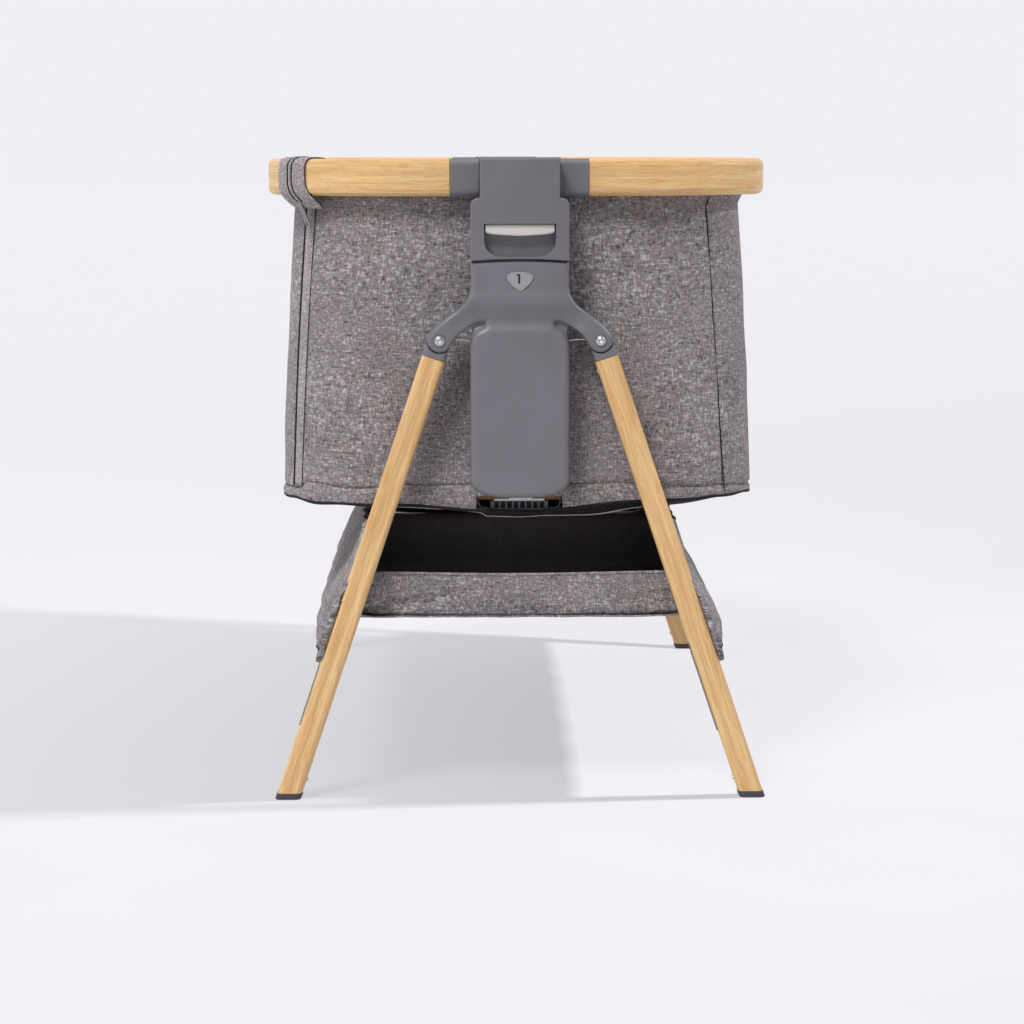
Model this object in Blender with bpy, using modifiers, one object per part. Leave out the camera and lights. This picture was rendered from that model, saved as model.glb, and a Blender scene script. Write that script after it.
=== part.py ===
"""Bedside crib: a fabric bassinet hung in an oval ring rail, on two folding, height-adjustable end frames.

Blender 4.5, metres, +Z up. The origin is on the floor under the middle of the crib.
X is the width and Y the length. The near end is at -Y, and the far end is the same
end frame turned half a turn about Z. Every moving group hangs from an empty on its joint's axis.
"""

import math

import bmesh
import bpy
from mathutils import Matrix, Vector
from mathutils.geometry import interpolate_bezier

# Driving dimensions, in metres
RAIL_WIDTH = 0.560  # outer size of the ring, along X
RAIL_LENGTH = 0.860  # outer size of the ring, along Y
RAIL_TOP = 0.692  # height of the ring's top face
RAIL_TALL = 0.040
RAIL_THICK = 0.022
RAIL_CORNER = 0.180  # outer corner radius in plan
RAIL_ROUNDING = 0.007  # edge radius of the rail's section

COLLAR_HALF = 0.0425  # half width of the hinge collar
SLEEVE_END = 0.0745  # where the wood-look rail starts
HEAD_HALF = 0.0525
HEAD_FRONT = -0.4650
HEAD_BACK = -0.4345
HEAD_LOW = 0.5840

PIVOT_X = 0.0860  # leg rivet
PIVOT_Z = 0.4995
FOOT_X = 0.2535  # middle of a foot on the floor
LEG_WIDE = 0.0255
LEG_DEEP = 0.0200
LEG_Y = -0.4505  # middle plane of the legs
FOOT_CAP = 0.0065

COVER_HALF = 0.0537
COVER_FRONT = -0.4605
COVER_BACK = -0.4530
COLUMN_BACK = -0.4342
COVER_TOP = 0.5195
COVER_LOW = 0.3295

HEIGHT_STEP = 0.030
HEIGHT_STOPS = 6
CLOTH = 0.004  # padded wall thickness
HEM_GAP = 0.0012  # between the walls' hem and the inside of the rail
SEAM = 0.0010  # each wall stops this far from its seam line
WALL_LOW = 0.3080
WALL_TOP = 0.6885
WALL_CORNER_TOP = 0.152
WALL_CORNER_LOW = 0.125

FLOOR_BOTTOM = 0.3085
NOTCH_HALF = 0.0474  # half width of the notch in the end walls
BOARD_THICK = 0.006
MATTRESS_THICK = 0.045

BASKET_TOP = 0.245
BASKET_END_LOW = 0.198
BASKET_FLOOR = 0.162
BASKET_SIDE_TOP = 0.300
BASKET_SIDE_LOW = 0.140

GAP = 0.0003  # clearance between touching pieces

# Worked out from the driving dimensions
RAIL_Z = RAIL_TOP - RAIL_TALL / 2
RAIL_X = RAIL_WIDTH / 2 - RAIL_THICK / 2
RAIL_Y = RAIL_LENGTH / 2 - RAIL_THICK / 2
HINGE = Vector((0.0, -RAIL_Y, RAIL_Z))
LEG_TILT = math.atan2(FOOT_X - PIVOT_X, PIVOT_Z)
LEG_LONG = math.hypot(FOOT_X - PIVOT_X, PIVOT_Z)

for old in list(bpy.data.objects):
    bpy.data.objects.remove(old, do_unlink=True)
PARTS = bpy.data.collections.new("Bedside_crib")
CUTTERS = bpy.data.collections.new("Cutters")
for group in (PARTS, CUTTERS):
    bpy.context.scene.collection.children.link(group)


def material(name, colour, roughness, metallic=0.0):
    made = bpy.data.materials.new(name)
    made.use_nodes = True
    shader = made.node_tree.nodes["Principled BSDF"]
    shader.inputs["Base Color"].default_value = (*colour, 1.0)
    shader.inputs["Roughness"].default_value = roughness
    shader.inputs["Metallic"].default_value = metallic
    made.diffuse_color = (*colour, 1.0)
    return made


OAK = material("oak_finish", (0.56, 0.36, 0.17), 0.45)
PLASTIC = material("grey_plastic", (0.16, 0.16, 0.18), 0.45)
LIGHT_PLASTIC = material("light_plastic", (0.62, 0.60, 0.58), 0.40)
RUBBER = material("grey_rubber", (0.10, 0.10, 0.10), 0.80)
STEEL = material("steel", (0.60, 0.60, 0.62), 0.25, 1.0)
MELANGE = material("melange_fabric", (0.20, 0.18, 0.175), 0.95)
DARK_FABRIC = material("dark_fabric", (0.02, 0.02, 0.022), 0.95)
BOARD = material("fibre_board", (0.23, 0.13, 0.07), 0.80)
TICKING = material("mattress_ticking", (0.80, 0.79, 0.77), 0.90)


# Outlines


def arc(centre, radius, start, end, steps):
    """Points on an arc in degrees, both ends included."""
    turns = [math.radians(start + (end - start) * i / steps) for i in range(steps + 1)]
    return [(centre[0] + radius * math.cos(t), centre[1] + radius * math.sin(t)) for t in turns]


def rounded_rectangle(half_x, half_y, radius, steps=4):
    corners = ((1, 1, 0), (-1, 1, 90), (-1, -1, 180), (1, -1, 270))
    points = []
    for sx, sy, start in corners:
        centre = (sx * (half_x - radius), sy * (half_y - radius))
        points += arc(centre, radius, start, start + 90, steps)
    return points


def bezier(start, handle_a, handle_b, end, steps):
    """Points after the start on a cubic curve."""
    flat = [Vector((*p, 0.0)) for p in (start, handle_a, handle_b, end)]
    return [(p.x, p.y) for p in interpolate_bezier(*flat, steps + 1)[1:]]


def mirrored(right_half):
    """A closed outline from its right half, given from top middle to bottom middle."""
    left = [(-x, z) for x, z in reversed(right_half) if x > 1e-6]
    return list(right_half) + left


# Solids


def new_object(name, mesh):
    obj = bpy.data.objects.new(name, mesh)
    PARTS.objects.link(obj)
    return obj


def from_bmesh(name, bm):
    bmesh.ops.recalc_face_normals(bm, faces=bm.faces)
    mesh = bpy.data.meshes.new(name)
    bm.to_mesh(mesh)
    bm.free()
    return new_object(name, mesh)


def block(name, low, high):
    bm = bmesh.new()
    bmesh.ops.create_cube(bm, size=1.0)
    low, high = Vector(low), Vector(high)
    size = high - low
    bmesh.ops.scale(bm, vec=size, verts=bm.verts)
    bmesh.ops.translate(bm, vec=(low + high) / 2, verts=bm.verts)
    return from_bmesh(name, bm)


def cylinder(name, start, end, radius, sides=24):
    start, end = Vector(start), Vector(end)
    bm = bmesh.new()
    bmesh.ops.create_cone(
        bm, cap_ends=True, segments=sides, radius1=radius, radius2=radius, depth=(end - start).length
    )
    turn = (end - start).to_track_quat("Z", "Y").to_matrix().to_4x4()
    bmesh.ops.transform(bm, matrix=Matrix.Translation((start + end) / 2) @ turn, verts=bm.verts)
    return from_bmesh(name, bm)


def to_mesh(curve_object):
    """The mesh of a curve object with its caps welded and its flat faces joined."""
    graph = bpy.context.evaluated_depsgraph_get()
    mesh = bpy.data.meshes.new_from_object(curve_object.evaluated_get(graph))
    bm = bmesh.new()
    bm.from_mesh(mesh)
    bmesh.ops.remove_doubles(bm, verts=bm.verts, dist=1e-6)
    bmesh.ops.dissolve_limit(bm, angle_limit=0.002, verts=bm.verts, edges=bm.edges)
    bpy.data.meshes.remove(mesh)
    name, place = curve_object.name, curve_object.matrix_world.copy()
    bpy.data.objects.remove(curve_object)
    made = from_bmesh(name, bm)
    made.data.transform(place)
    return made


def outline_curve(name, points, thickness):
    data = bpy.data.curves.new(name, "CURVE")
    data.dimensions = "2D"
    data.fill_mode = "BOTH"
    data.extrude = thickness / 2
    spline = data.splines.new("POLY")
    spline.points.add(len(points) - 1)
    for point, (x, y) in zip(spline.points, points):
        point.co = (x, y, 0.0, 1.0)
    spline.use_cyclic_u = True
    return new_object(name, data)


def front_solid(name, outline, y_front, y_back):
    """A solid with this outline seen from the end, between two depths."""
    curve = outline_curve(name, outline, y_back - y_front)
    curve.rotation_euler.x = math.radians(90)
    curve.location.y = (y_front + y_back) / 2
    bpy.context.view_layer.update()
    return to_mesh(curve)


def plan_solid(name, outline, z_low, z_high):
    """A solid with this outline seen from above."""
    curve = outline_curve(name, outline, z_high - z_low)
    curve.location.z = (z_low + z_high) / 2
    bpy.context.view_layer.update()
    return to_mesh(curve)


def swept(name, path, section):
    """A solid with this section carried along a level path."""
    profile = outline_curve(name + "_section", section, 0.0)
    profile.data.fill_mode = "NONE"
    data = bpy.data.curves.new(name, "CURVE")
    data.dimensions = "3D"
    data.twist_mode = "Z_UP"
    data.bevel_mode = "OBJECT"
    data.bevel_object = profile
    data.use_fill_caps = True
    spline = data.splines.new("POLY")
    spline.points.add(len(path) - 1)
    for point, co in zip(spline.points, path):
        point.co = (*co, 1.0)
    obj = new_object(name, data)
    bpy.context.view_layer.update()
    made = to_mesh(obj)
    bpy.data.objects.remove(profile)
    return made


def bevel(obj, width, segments=2, angle=50):
    edge = obj.modifiers.new("Rounded", "BEVEL")
    edge.width = width
    edge.segments = segments
    edge.limit_method = "ANGLE"
    edge.angle_limit = math.radians(angle)
    return obj


def bevel_front(obj, y_front, width, segments=3):
    """Round only the rim of the front face."""
    weights = obj.data.attributes.new("bevel_weight_edge", "FLOAT", "EDGE")
    points = obj.data.vertices
    for edge in obj.data.edges:
        if all(abs(points[v].co.y - y_front) < 1e-5 for v in edge.vertices):
            weights.data[edge.index].value = 1.0
    rim = obj.modifiers.new("Front rim", "BEVEL")
    rim.width = width
    rim.segments = segments
    rim.limit_method = "WEIGHT"
    return obj


def boolean(obj, tool, operation="DIFFERENCE"):
    step = obj.modifiers.new(operation.title(), "BOOLEAN")
    step.operation = operation
    step.object = tool
    step.solver = "EXACT"


def as_cutter(tool):
    PARTS.objects.unlink(tool)
    CUTTERS.objects.link(tool)
    tool.hide_render = True
    tool.display_type = "WIRE"
    return tool


class Frame:
    """An empty on a joint's axis. Pieces under it are modelled in the frame of `base`."""

    def __init__(self, name, place=(0, 0, 0), parent=None, turn=(0, 0, 0), own_axes=False):
        self.place = Vector(place)
        self.empty = bpy.data.objects.new(name, None)
        self.empty.empty_display_size = 0.03
        PARTS.objects.link(self.empty)
        origin = parent.base if parent else Vector()
        self.empty.location = self.place - origin
        self.empty.rotation_euler = turn
        if parent:
            self.empty.parent = parent.empty
        self.base = Vector() if own_axes else self.place

    def take(self, obj, finish=None, smooth=35):
        """Hang a piece here, with its origin in its own middle."""
        corners = [Vector(c) for c in obj.bound_box]
        middle = (corners[0] + corners[6]) / 2
        obj.data.transform(Matrix.Translation(-middle))
        obj.location = middle - self.base
        obj.parent = self.empty
        if finish:
            obj.data.materials.clear()
            obj.data.materials.append(finish)
            obj.data.shade_smooth()
            obj.data.set_sharp_from_angle(angle=math.radians(smooth))
        return obj

    def cut(self, obj, *tools):
        for tool in tools:
            boolean(obj, self.take(as_cutter(tool)))

    def add(self, obj, *tools):
        for tool in tools:
            boolean(obj, self.take(as_cutter(tool)), "UNION")


# The ring rail


def rail_half_path(side):
    """From the near sleeve round one long side to the far sleeve, along the section's middle."""
    radius = RAIL_CORNER - RAIL_THICK / 2
    cx, cy = RAIL_X - radius, RAIL_Y - radius
    plan = [(SLEEVE_END + GAP, -RAIL_Y)]
    plan += arc((cx, -cy), radius, -90, 0, 12)
    plan += arc((cx, cy), radius, 0, 90, 12)
    plan += [(SLEEVE_END + GAP, RAIL_Y)]
    return [(side * x, y, RAIL_Z) for x, y in plan]


def make_rail(name, side, root):
    section = rounded_rectangle(RAIL_THICK / 2, RAIL_TALL / 2, RAIL_ROUNDING, 3)
    rail = swept(name, rail_half_path(side), section)
    root.take(rail, OAK)
    for end in (-1, 1):
        low = Vector((SLEEVE_END - 0.002, -0.0072, RAIL_Z - 0.0152))
        high = Vector((SLEEVE_END + 0.0253, 0.0072, RAIL_Z + 0.0152))
        pocket = block(f"{name}_pocket_{end}", low, high)
        pocket.data.transform(Matrix.Scale(side, 4, (1, 0, 0)))
        if side < 0:
            pocket.data.flip_normals()
        pocket.data.transform(Matrix.Translation((0, end * RAIL_Y, 0)))
        root.cut(rail, pocket)


def make_sleeve(name, side, end):
    """A plastic end piece with a spigot in the rail and a blind bore for the hinge axle."""
    bulge = 0.0024  # the sleeve stands proud of the rail on its outer face only
    section = rounded_rectangle((RAIL_THICK + bulge) / 2, RAIL_TALL / 2, 0.0065, 4)
    body = plan_solid(name, section, 0.0, SLEEVE_END - COLLAR_HALF - GAP)
    lay = Matrix(((0, 0, 1, 0), (1, 0, 0, 0), (0, 1, 0, 0), (0, 0, 0, 1)))
    body.data.transform(lay)
    body.data.transform(Matrix.Translation((COLLAR_HALF + GAP, HINGE.y - bulge / 2, HINGE.z)))
    spigot = block(
        name + "_spigot",
        (SLEEVE_END - 0.004, HINGE.y - 0.0069, HINGE.z - 0.0149),
        (SLEEVE_END + 0.0250, HINGE.y + 0.0069, HINGE.z + 0.0149),
    )
    bore = cylinder(
        name + "_bore", (COLLAR_HALF - 0.003, HINGE.y, HINGE.z), (0.0625, HINGE.y, HINGE.z), 0.0043
    )
    for piece in (body, spigot, bore):
        if side < 0:
            piece.data.transform(Matrix.Scale(-1, 4, (1, 0, 0)))
            piece.data.flip_normals()
    end.take(bevel(body, 0.0010, 2, 60), PLASTIC)
    end.add(body, spigot)
    end.cut(body, bore)


# The end frame: head, lever, column and legs


def head_outline():
    """Collar and housing in one moulding, right half, top to bottom."""
    shoulder = 0.0082
    top = RAIL_TOP + 0.0005
    collar = [(0.0, top), (COLLAR_HALF - 0.001, top), (COLLAR_HALF, top - 0.001)]
    collar += [(COLLAR_HALF, RAIL_TOP - RAIL_TALL - 0.0015)]
    centre = (HEAD_HALF - shoulder, RAIL_TOP - RAIL_TALL - 0.0015 - shoulder)
    shoulders = arc(centre, shoulder, 80, 0, 5)
    arch = [(x, HEAD_LOW + 0.0022 * (1 - (x / HEAD_HALF) ** 2)) for x in (HEAD_HALF, 0.04, 0.02, 0.0)]
    return mirrored(collar + shoulders + arch)


def lever_window(grow=0.0):
    """The finger recess: flat top and wide round lower corners."""
    half, top, low = 0.0382 + grow, 0.6235 + grow, 0.5887 - grow
    right = [(0.0, top), (half, top), (half, low + 0.018)]
    right += bezier((half, low + 0.018), (half, low + 0.006), (half - 0.008, low + 0.002), (0.022, low), 6)
    return mirrored(right + [(0.0, low - 0.0003)])


def make_head(prefix, fold, lever_slide):
    head = front_solid(prefix + "_head_cover", head_outline(), HEAD_FRONT, HEAD_BACK)
    bevel_front(head, HEAD_FRONT, 0.0045)
    fold.take(head, PLASTIC, 30)
    collar_fill = block(
        prefix + "_collar_back",
        (-COLLAR_HALF + 0.0004, HEAD_BACK - 0.006, RAIL_Z - RAIL_TALL / 2 + 0.001),
        (COLLAR_HALF - 0.0004, -0.4082, RAIL_TOP + 0.0001),
    )
    fold.add(head, bevel(collar_fill, 0.004, 3, 40))
    window = front_solid(prefix + "_window", lever_window(), HEAD_FRONT - 0.002, -0.4522)
    cavity = block(prefix + "_lever_cavity", (-0.0384, -0.4628, 0.6000), (0.0384, -0.4522, 0.6345))
    tube_slot = block(prefix + "_tube_slot", (-0.0203, -0.4508, 0.570), (0.0203, -0.4382, 0.6403))
    bore = cylinder(prefix + "_axle_bore", (-0.05, HINGE.y, HINGE.z), (0.05, HINGE.y, HINGE.z), 0.0043)
    fold.cut(head, window, cavity, tube_slot, bore)

    axle = cylinder(prefix + "_hinge_axle", (-0.0618, HINGE.y, HINGE.z), (0.0618, HINGE.y, HINGE.z), 0.0040)
    fold.take(axle, STEEL)
    tube = block(prefix + "_slide_tube", (-0.020, -0.4505, 0.3450), (0.020, -0.4385, 0.6400))
    fold.take(bevel(tube, 0.0015, 2, 60), STEEL)
    for step in range(HEIGHT_STOPS):
        z = 0.5600 - step * HEIGHT_STEP
        hole = block(f"{prefix}_notch_{step}", (-0.0045, -0.4520, z - 0.003), (0.0045, -0.4470, z + 0.003))
        fold.cut(tube, hole)

    half, top, low = 0.0372, 0.6231, 0.6121
    right = [(0.0, top), (half - 0.001, top), (half, top - 0.001), (half, low + 0.004)]
    right += bezier((half, low + 0.004), (half, low + 0.0005), (half - 0.006, low), (0.0, low - 0.0016), 8)
    lever = front_solid(prefix + "_lever", mirrored(right), -0.4624, -0.4530)
    bevel_front(lever, -0.4624, 0.0016, 2)
    lever_slide.take(lever, LIGHT_PLASTIC)
    make_spring(prefix + "_lever_spring", lever_slide)


def make_spring(name, frame):
    """Return spring between the lever and the roof of its cavity."""
    turns, steps, radius, wire = 5, 10, 0.0030, 0.00045
    low, high = 0.6231 + GAP + wire, 0.6345 - GAP - wire
    data = bpy.data.curves.new(name, "CURVE")
    data.dimensions = "3D"
    data.bevel_depth = wire
    data.bevel_resolution = 0
    data.use_fill_caps = True
    spline = data.splines.new("POLY")
    count = turns * steps + 1
    spline.points.add(count - 1)
    for i, point in enumerate(spline.points):
        turn = 2 * math.pi * i / steps
        z = low + (high - low) * i / (count - 1)
        point.co = (radius * math.cos(turn), -0.4577 + radius * math.sin(turn), z, 1.0)
    frame.take(to_mesh(new_object(name, data)), STEEL)


def yoke_outline():
    """Top of the column flaring into two arms with round ends at the rivets, right half."""
    top = HEAD_LOW - 0.0006
    right = [(x, top + 0.0022 * (1 - (x / HEAD_HALF) ** 2)) for x in (0.0, 0.02, 0.04, HEAD_HALF)]
    flare = (HEAD_HALF, 0.5560)
    knee = (0.0735, 0.5275)
    right += [flare]
    right += bezier(flare, (HEAD_HALF + 0.001, 0.5430), (0.0610, 0.5355), knee, 6)
    tip = arc((PIVOT_X, PIVOT_Z), 0.0136, 18, -150, 10)
    right += bezier(knee, (0.0850, 0.5200), (0.0960, 0.5100), tip[0], 5)
    right += tip[1:]
    right += bezier(tip[-1], (0.0690, 0.5040), (0.0560, 0.5170), (0.0380, 0.5193), 6)
    right += [(0.018, COVER_TOP + 0.0008), (0.0, COVER_TOP + 0.0010)]
    return mirrored(right)


def cover_outline(inset=0.0):
    half, top, low = COVER_HALF - inset, COVER_TOP - inset, COVER_LOW + inset
    right = [(0.0, top), (0.020, top - 0.0003)]
    right += bezier((0.020, top - 0.0003), (half - 0.012, top - 0.001), (half, top - 0.010), (half, top - 0.030), 6)
    right += [(half, low + 0.019)]
    right += bezier(right[-1], (half, low + 0.0060), (half - 0.018, low + 0.0004), (0.014, low), 8)
    return mirrored(right + [(0.0, low)])


def badge_outline(grow=0.0):
    """A small rounded shield, point down, right half."""
    right = [(0.0, 0.5722 + grow), (0.007, 0.5716 + grow)]
    right += bezier(right[-1], (0.0125 + grow, 0.5705), (0.0145 + grow, 0.5680), (0.0125 + grow, 0.5640), 4)
    right += bezier(right[-1], (0.0090, 0.5590), (0.0060, 0.5560 - grow), (0.0022, 0.5540 - grow), 4)
    return mirrored(right + [(0.0, 0.5533 - grow)])


def make_column(prefix, column):
    channel = ((-0.0203, -0.4508), (0.0203, -0.4382))
    yoke = front_solid(prefix + "_yoke", yoke_outline(), -0.4628, -0.4405)
    bevel_front(yoke, -0.4628, 0.0050)
    column.take(yoke, PLASTIC, 30)
    slot = block(prefix + "_yoke_channel", (*channel[0], 0.490), (*channel[1], 0.600))
    pocket = front_solid(prefix + "_badge_pocket", badge_outline(GAP), -0.4650, -0.4615)
    column.cut(yoke, slot, pocket)
    for side in (-1, 1):
        x = side * PIVOT_X
        fork = cylinder(f"{prefix}_fork_{side}", (x, LEG_Y + GAP, PIVOT_Z), (x, -0.430, PIVOT_Z), 0.0148)
        hole = cylinder(f"{prefix}_rivet_hole_{side}", (x, -0.470, PIVOT_Z), (x, -0.430, PIVOT_Z), 0.0040)
        column.cut(yoke, fork, hole)

    badge = front_solid(prefix + "_level_badge", badge_outline(), -0.4636, -0.4618)
    column.take(bevel_front(badge, -0.4636, 0.0006, 2), LIGHT_PLASTIC)
    cover = front_solid(prefix + "_column_cover", cover_outline(), COVER_FRONT, COVER_BACK)
    column.take(bevel_front(cover, COVER_FRONT, 0.0068, 4), PLASTIC, 30)
    back = front_solid(prefix + "_column_back", cover_outline(0.0015), COVER_BACK + GAP, COLUMN_BACK)
    column.take(bevel(back, 0.0012, 1, 60), PLASTIC)
    run = block(prefix + "_column_channel", (*channel[0], 0.320), (*channel[1], 0.530))
    column.cut(back, run)


def make_leg(prefix, side, column):
    """A leg hangs from its rivet, and is modelled straight down from there in its own axes."""
    name = f"{prefix}_{'left' if side < 0 else 'right'}_leg"
    turn = -side * LEG_TILT
    leg = Frame(name + "_pivot", (side * PIVOT_X, LEG_Y, PIVOT_Z), column, (0, turn, 0), own_axes=True)
    level = Matrix.Rotation(turn, 3, "Y").inverted()
    up = level @ Vector((0, 0, 1))
    floor = level @ Vector((side * (FOOT_X - PIVOT_X), 0, -PIVOT_Z))

    def cut_level(obj, height, clear_outer):
        bm = bmesh.new()
        bm.from_mesh(obj.data)
        made = bmesh.ops.bisect_plane(
            bm,
            geom=bm.verts[:] + bm.edges[:] + bm.faces[:],
            plane_co=floor + up * height,
            plane_no=up,
            clear_outer=clear_outer,
            clear_inner=not clear_outer,
        )
        rim = [e for e in made["geom_cut"] if isinstance(e, bmesh.types.BMEdge)]
        bmesh.ops.holes_fill(bm, edges=rim)
        bm.to_mesh(obj.data)
        bm.free()

    section = rounded_rectangle(LEG_WIDE / 2, LEG_DEEP / 2, 0.0055, 4)
    tube = plan_solid(name + "_tube", section, -LEG_LONG - 0.02, -0.0205)
    cut_level(tube, FOOT_CAP + GAP, clear_outer=False)
    leg.take(tube, OAK)

    shoe = rounded_rectangle(LEG_WIDE / 2 + 0.0006, LEG_DEEP / 2 + 0.0006, 0.0060, 4)
    foot = plan_solid(name + "_foot", shoe, -LEG_LONG - 0.02, -LEG_LONG + 0.03)
    cut_level(foot, 0.0, clear_outer=False)
    cut_level(foot, FOOT_CAP, clear_outer=True)
    leg.take(bevel(foot, 0.0006, 1, 60), RUBBER)

    knuckle = plan_solid(name + "_knuckle", section, -0.0205 + GAP, -0.0060)
    leg.take(bevel(knuckle, 0.0004, 1, 60), PLASTIC)
    tongue = cylinder(name + "_tongue", (0, GAP * 2, 0), (0, LEG_DEEP / 2 - 0.0008, 0), 0.0122, 32)
    neck = block(name + "_neck", (-0.0122, GAP * 2, -0.0090), (0.0122, LEG_DEEP / 2 - 0.0008, 0.0))
    leg.add(knuckle, tongue, neck)
    relief = cylinder(name + "_relief", (0, -0.02, 0), (0, GAP * 2, 0), 0.0141, 32)
    hole = cylinder(name + "_hole", (0, -0.02, 0), (0, 0.02, 0), 0.0040)
    leg.cut(knuckle, relief, hole)

    rivet = cylinder(name + "_rivet", (0, -0.0133, 0), (0, LEG_DEEP / 2 - 0.0010, 0), 0.0036)
    head = cylinder(name + "_rivet_head", (0, -0.0142, 0), (0, -0.0126, 0), 0.0056)
    leg.take(rivet, STEEL)
    leg.add(rivet, bevel(head, 0.0007, 2, 60))
    return leg


def make_end(prefix, turn):
    end = Frame(prefix + "_end", turn=(0, 0, turn))
    fold = Frame(prefix + "_fold_axis", HINGE, end)
    lever_slide = Frame(prefix + "_lever_slide", (0, -0.458, 0.617), fold)
    column = Frame(prefix + "_height_slide", (0, -0.4445, 0.5600), fold)
    make_sleeve(prefix + "_left_sleeve", -1, end)
    make_sleeve(prefix + "_right_sleeve", 1, end)
    make_head(prefix, fold, lever_slide)
    make_column(prefix, column)
    for side in (-1, 1):
        make_leg(prefix, side, column)


# The bassinet: padded walls, floor, guides and mattress


def wall_size(z):
    """Half width, half length and corner radius of the walls' outer face at a height."""
    low, top = Vector((0.2655, 0.4200, WALL_CORNER_LOW)), Vector((0.2535, 0.4065, WALL_CORNER_TOP))
    share = min(1.0, (z - WALL_LOW) / (0.640 - WALL_LOW))
    size = low.lerp(top, share)
    if z > 0.640:
        inner = Vector((RAIL_WIDTH / 2, RAIL_LENGTH / 2, RAIL_CORNER)) - Vector((RAIL_THICK,) * 3)
        hem = inner - Vector((HEM_GAP,) * 3)
        size = size.lerp(hem, min(1.0, (z - 0.640) / 0.014))
    return size


def wall_loop(z, steps=8):
    size = wall_size(z)
    return [(x, y, z) for x, y in rounded_rectangle(size.x, size.y, size.z, steps)]


def make_wall(name, first, last, root):
    """Part of the wall, from one point of its loop to another, thickened inwards."""
    levels = [WALL_LOW, 0.42, 0.54, 0.640, 0.654, WALL_TOP]
    bm = bmesh.new()
    rows = []
    for z in levels:
        loop = wall_loop(z)
        points = [Vector(loop[i % len(loop)]) for i in range(first, last + 1)]
        for end, inner in ((0, 1), (-1, -2)):
            points[end] += (points[inner] - points[end]).normalized() * SEAM
        rows.append([bm.verts.new(p) for p in points])
    for low, high in zip(rows, rows[1:]):
        for i in range(len(low) - 1):
            bm.faces.new((low[i], low[i + 1], high[i + 1], high[i]))
    mesh = bpy.data.meshes.new(name)
    bm.to_mesh(mesh)
    bm.free()
    wall = root.take(new_object(name, mesh), MELANGE)
    skin = wall.modifiers.new("Padding", "SOLIDIFY")
    skin.thickness = CLOTH
    skin.offset = -1
    return wall


def make_bassinet(root, floor):
    corner = 9  # points on each corner of the loop
    seam = 4  # the corner point where two walls are sewn together
    for quarter, side in enumerate(("far", "left", "near", "right")):
        name = f"bassinet_{side}_wall"
        wall = make_wall(name, quarter * corner + seam, (quarter + 1) * corner + seam, root)
        if side in ("near", "far"):
            out = -1 if side == "near" else 1
            low_y, high_y = sorted((out * 0.40, out * 0.44))
            root.cut(wall, block(name + "_notch", (-NOTCH_HALF, low_y, 0.30), (NOTCH_HALF, high_y, 0.3275)))

    inner = Vector((RAIL_WIDTH / 2, RAIL_LENGTH / 2, RAIL_CORNER)) - Vector((RAIL_THICK,) * 3)
    bottom, board, pad = (
        rounded_rectangle(inner.x - inset, inner.y - inset - short, inner.z - inset, 8)
        for inset, short in ((0.0015, 0.0), (0.0030, 0.0), (0.0110, 0.0085))
    )
    z = FLOOR_BOTTOM
    cloth = plan_solid("bassinet_floor_cloth", bottom, z, z + 0.003)
    floor.take(cloth, DARK_FABRIC)
    z += 0.003 + GAP
    stiff = plan_solid("floor_board", board, z, z + BOARD_THICK)
    floor.take(stiff, BOARD)
    z += BOARD_THICK + GAP
    mattress = plan_solid("mattress", pad, z, z + MATTRESS_THICK)
    floor.take(bevel(mattress, 0.008, 2, 60), TICKING)
    for out, prefix in ((-1, "near"), (1, "far")):
        make_floor_guide(prefix + "_floor_guide", out, floor, (cloth, stiff))


def make_floor_guide(name, out, floor, neighbours):
    """The slotted plastic bracket behind each notch that steadies the end of the floor."""
    near, deep = 0.4072, 0.3895
    low_y, high_y = sorted((out * near, out * deep))
    half, pitch, slot_half = 0.0316, 0.0071, 0.0025
    guide = block(name, (-half, low_y, 0.3095), (half, high_y, 0.3206))
    floor.take(bevel(guide, 0.0008, 1, 60), PLASTIC)
    flange = block(name + "_flange", (-0.0445, low_y, 0.3095), (0.0445, high_y, 0.3120))
    floor.add(guide, bevel(flange, 0.0006, 1, 60))
    for i in range(8):
        x = (i - 3.5) * pitch
        slot_low, slot_high = sorted((out * (near + 0.004), out * (near - 0.010)))
        low, high = (x - slot_half, slot_low, 0.3128), (x + slot_half, slot_high, 0.3197)
        floor.cut(guide, block(f"{name}_slot_{i}", low, high))
    room_low, room_high = sorted((out * (near + 0.004), out * (deep - GAP * 2)))
    for number, piece in enumerate(neighbours):
        room = block(f"{name}_room_{number}", (-0.0455, room_low, 0.300), (0.0455, room_high, 0.330))
        floor.cut(piece, room)


def make_zip(root):
    """The slider under the rail's near left corner, with its hanging pull."""
    place = Vector((-0.2376, -0.3480, 0.6465))
    outward = Vector((-0.82, -0.57, 0.0))
    up = Vector((-0.38, 0.10, 0.90)).normalized()
    across = outward.cross(up).normalized()
    face = up.cross(across).normalized()
    turn = Matrix((across, face, up)).transposed().to_4x4()
    seat = Matrix.Translation(place) @ turn
    slider = block("zip_slider", (-0.0042, -0.0022, -0.0040), (0.0042, 0.0022, 0.0040))
    slider.data.transform(seat)
    root.take(bevel(slider, 0.0010, 2, 60), STEEL)
    hinge = seat @ Vector((0, 0.0040, 0))
    pull_frame = Frame("zip_pull_axis", hinge, root)
    outline = [(-0.0032, 0.0015), (0.0032, 0.0015), (0.0046, -0.0270)]
    outline += arc((0.0, -0.0270), 0.0046, 0, -180, 6)[1:]
    pull = front_solid("zip_pull", outline, 0.0035, 0.0047)
    hole = cylinder("zip_pull_hole", (0, -0.002, -0.0262), (0, 0.008, -0.0262), 0.0024, 16)
    for piece in (pull, hole):
        piece.data.transform(seat)
    pull_frame.take(pull, STEEL)
    pull_frame.cut(pull, hole)


# The storage basket, held by the legs


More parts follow.
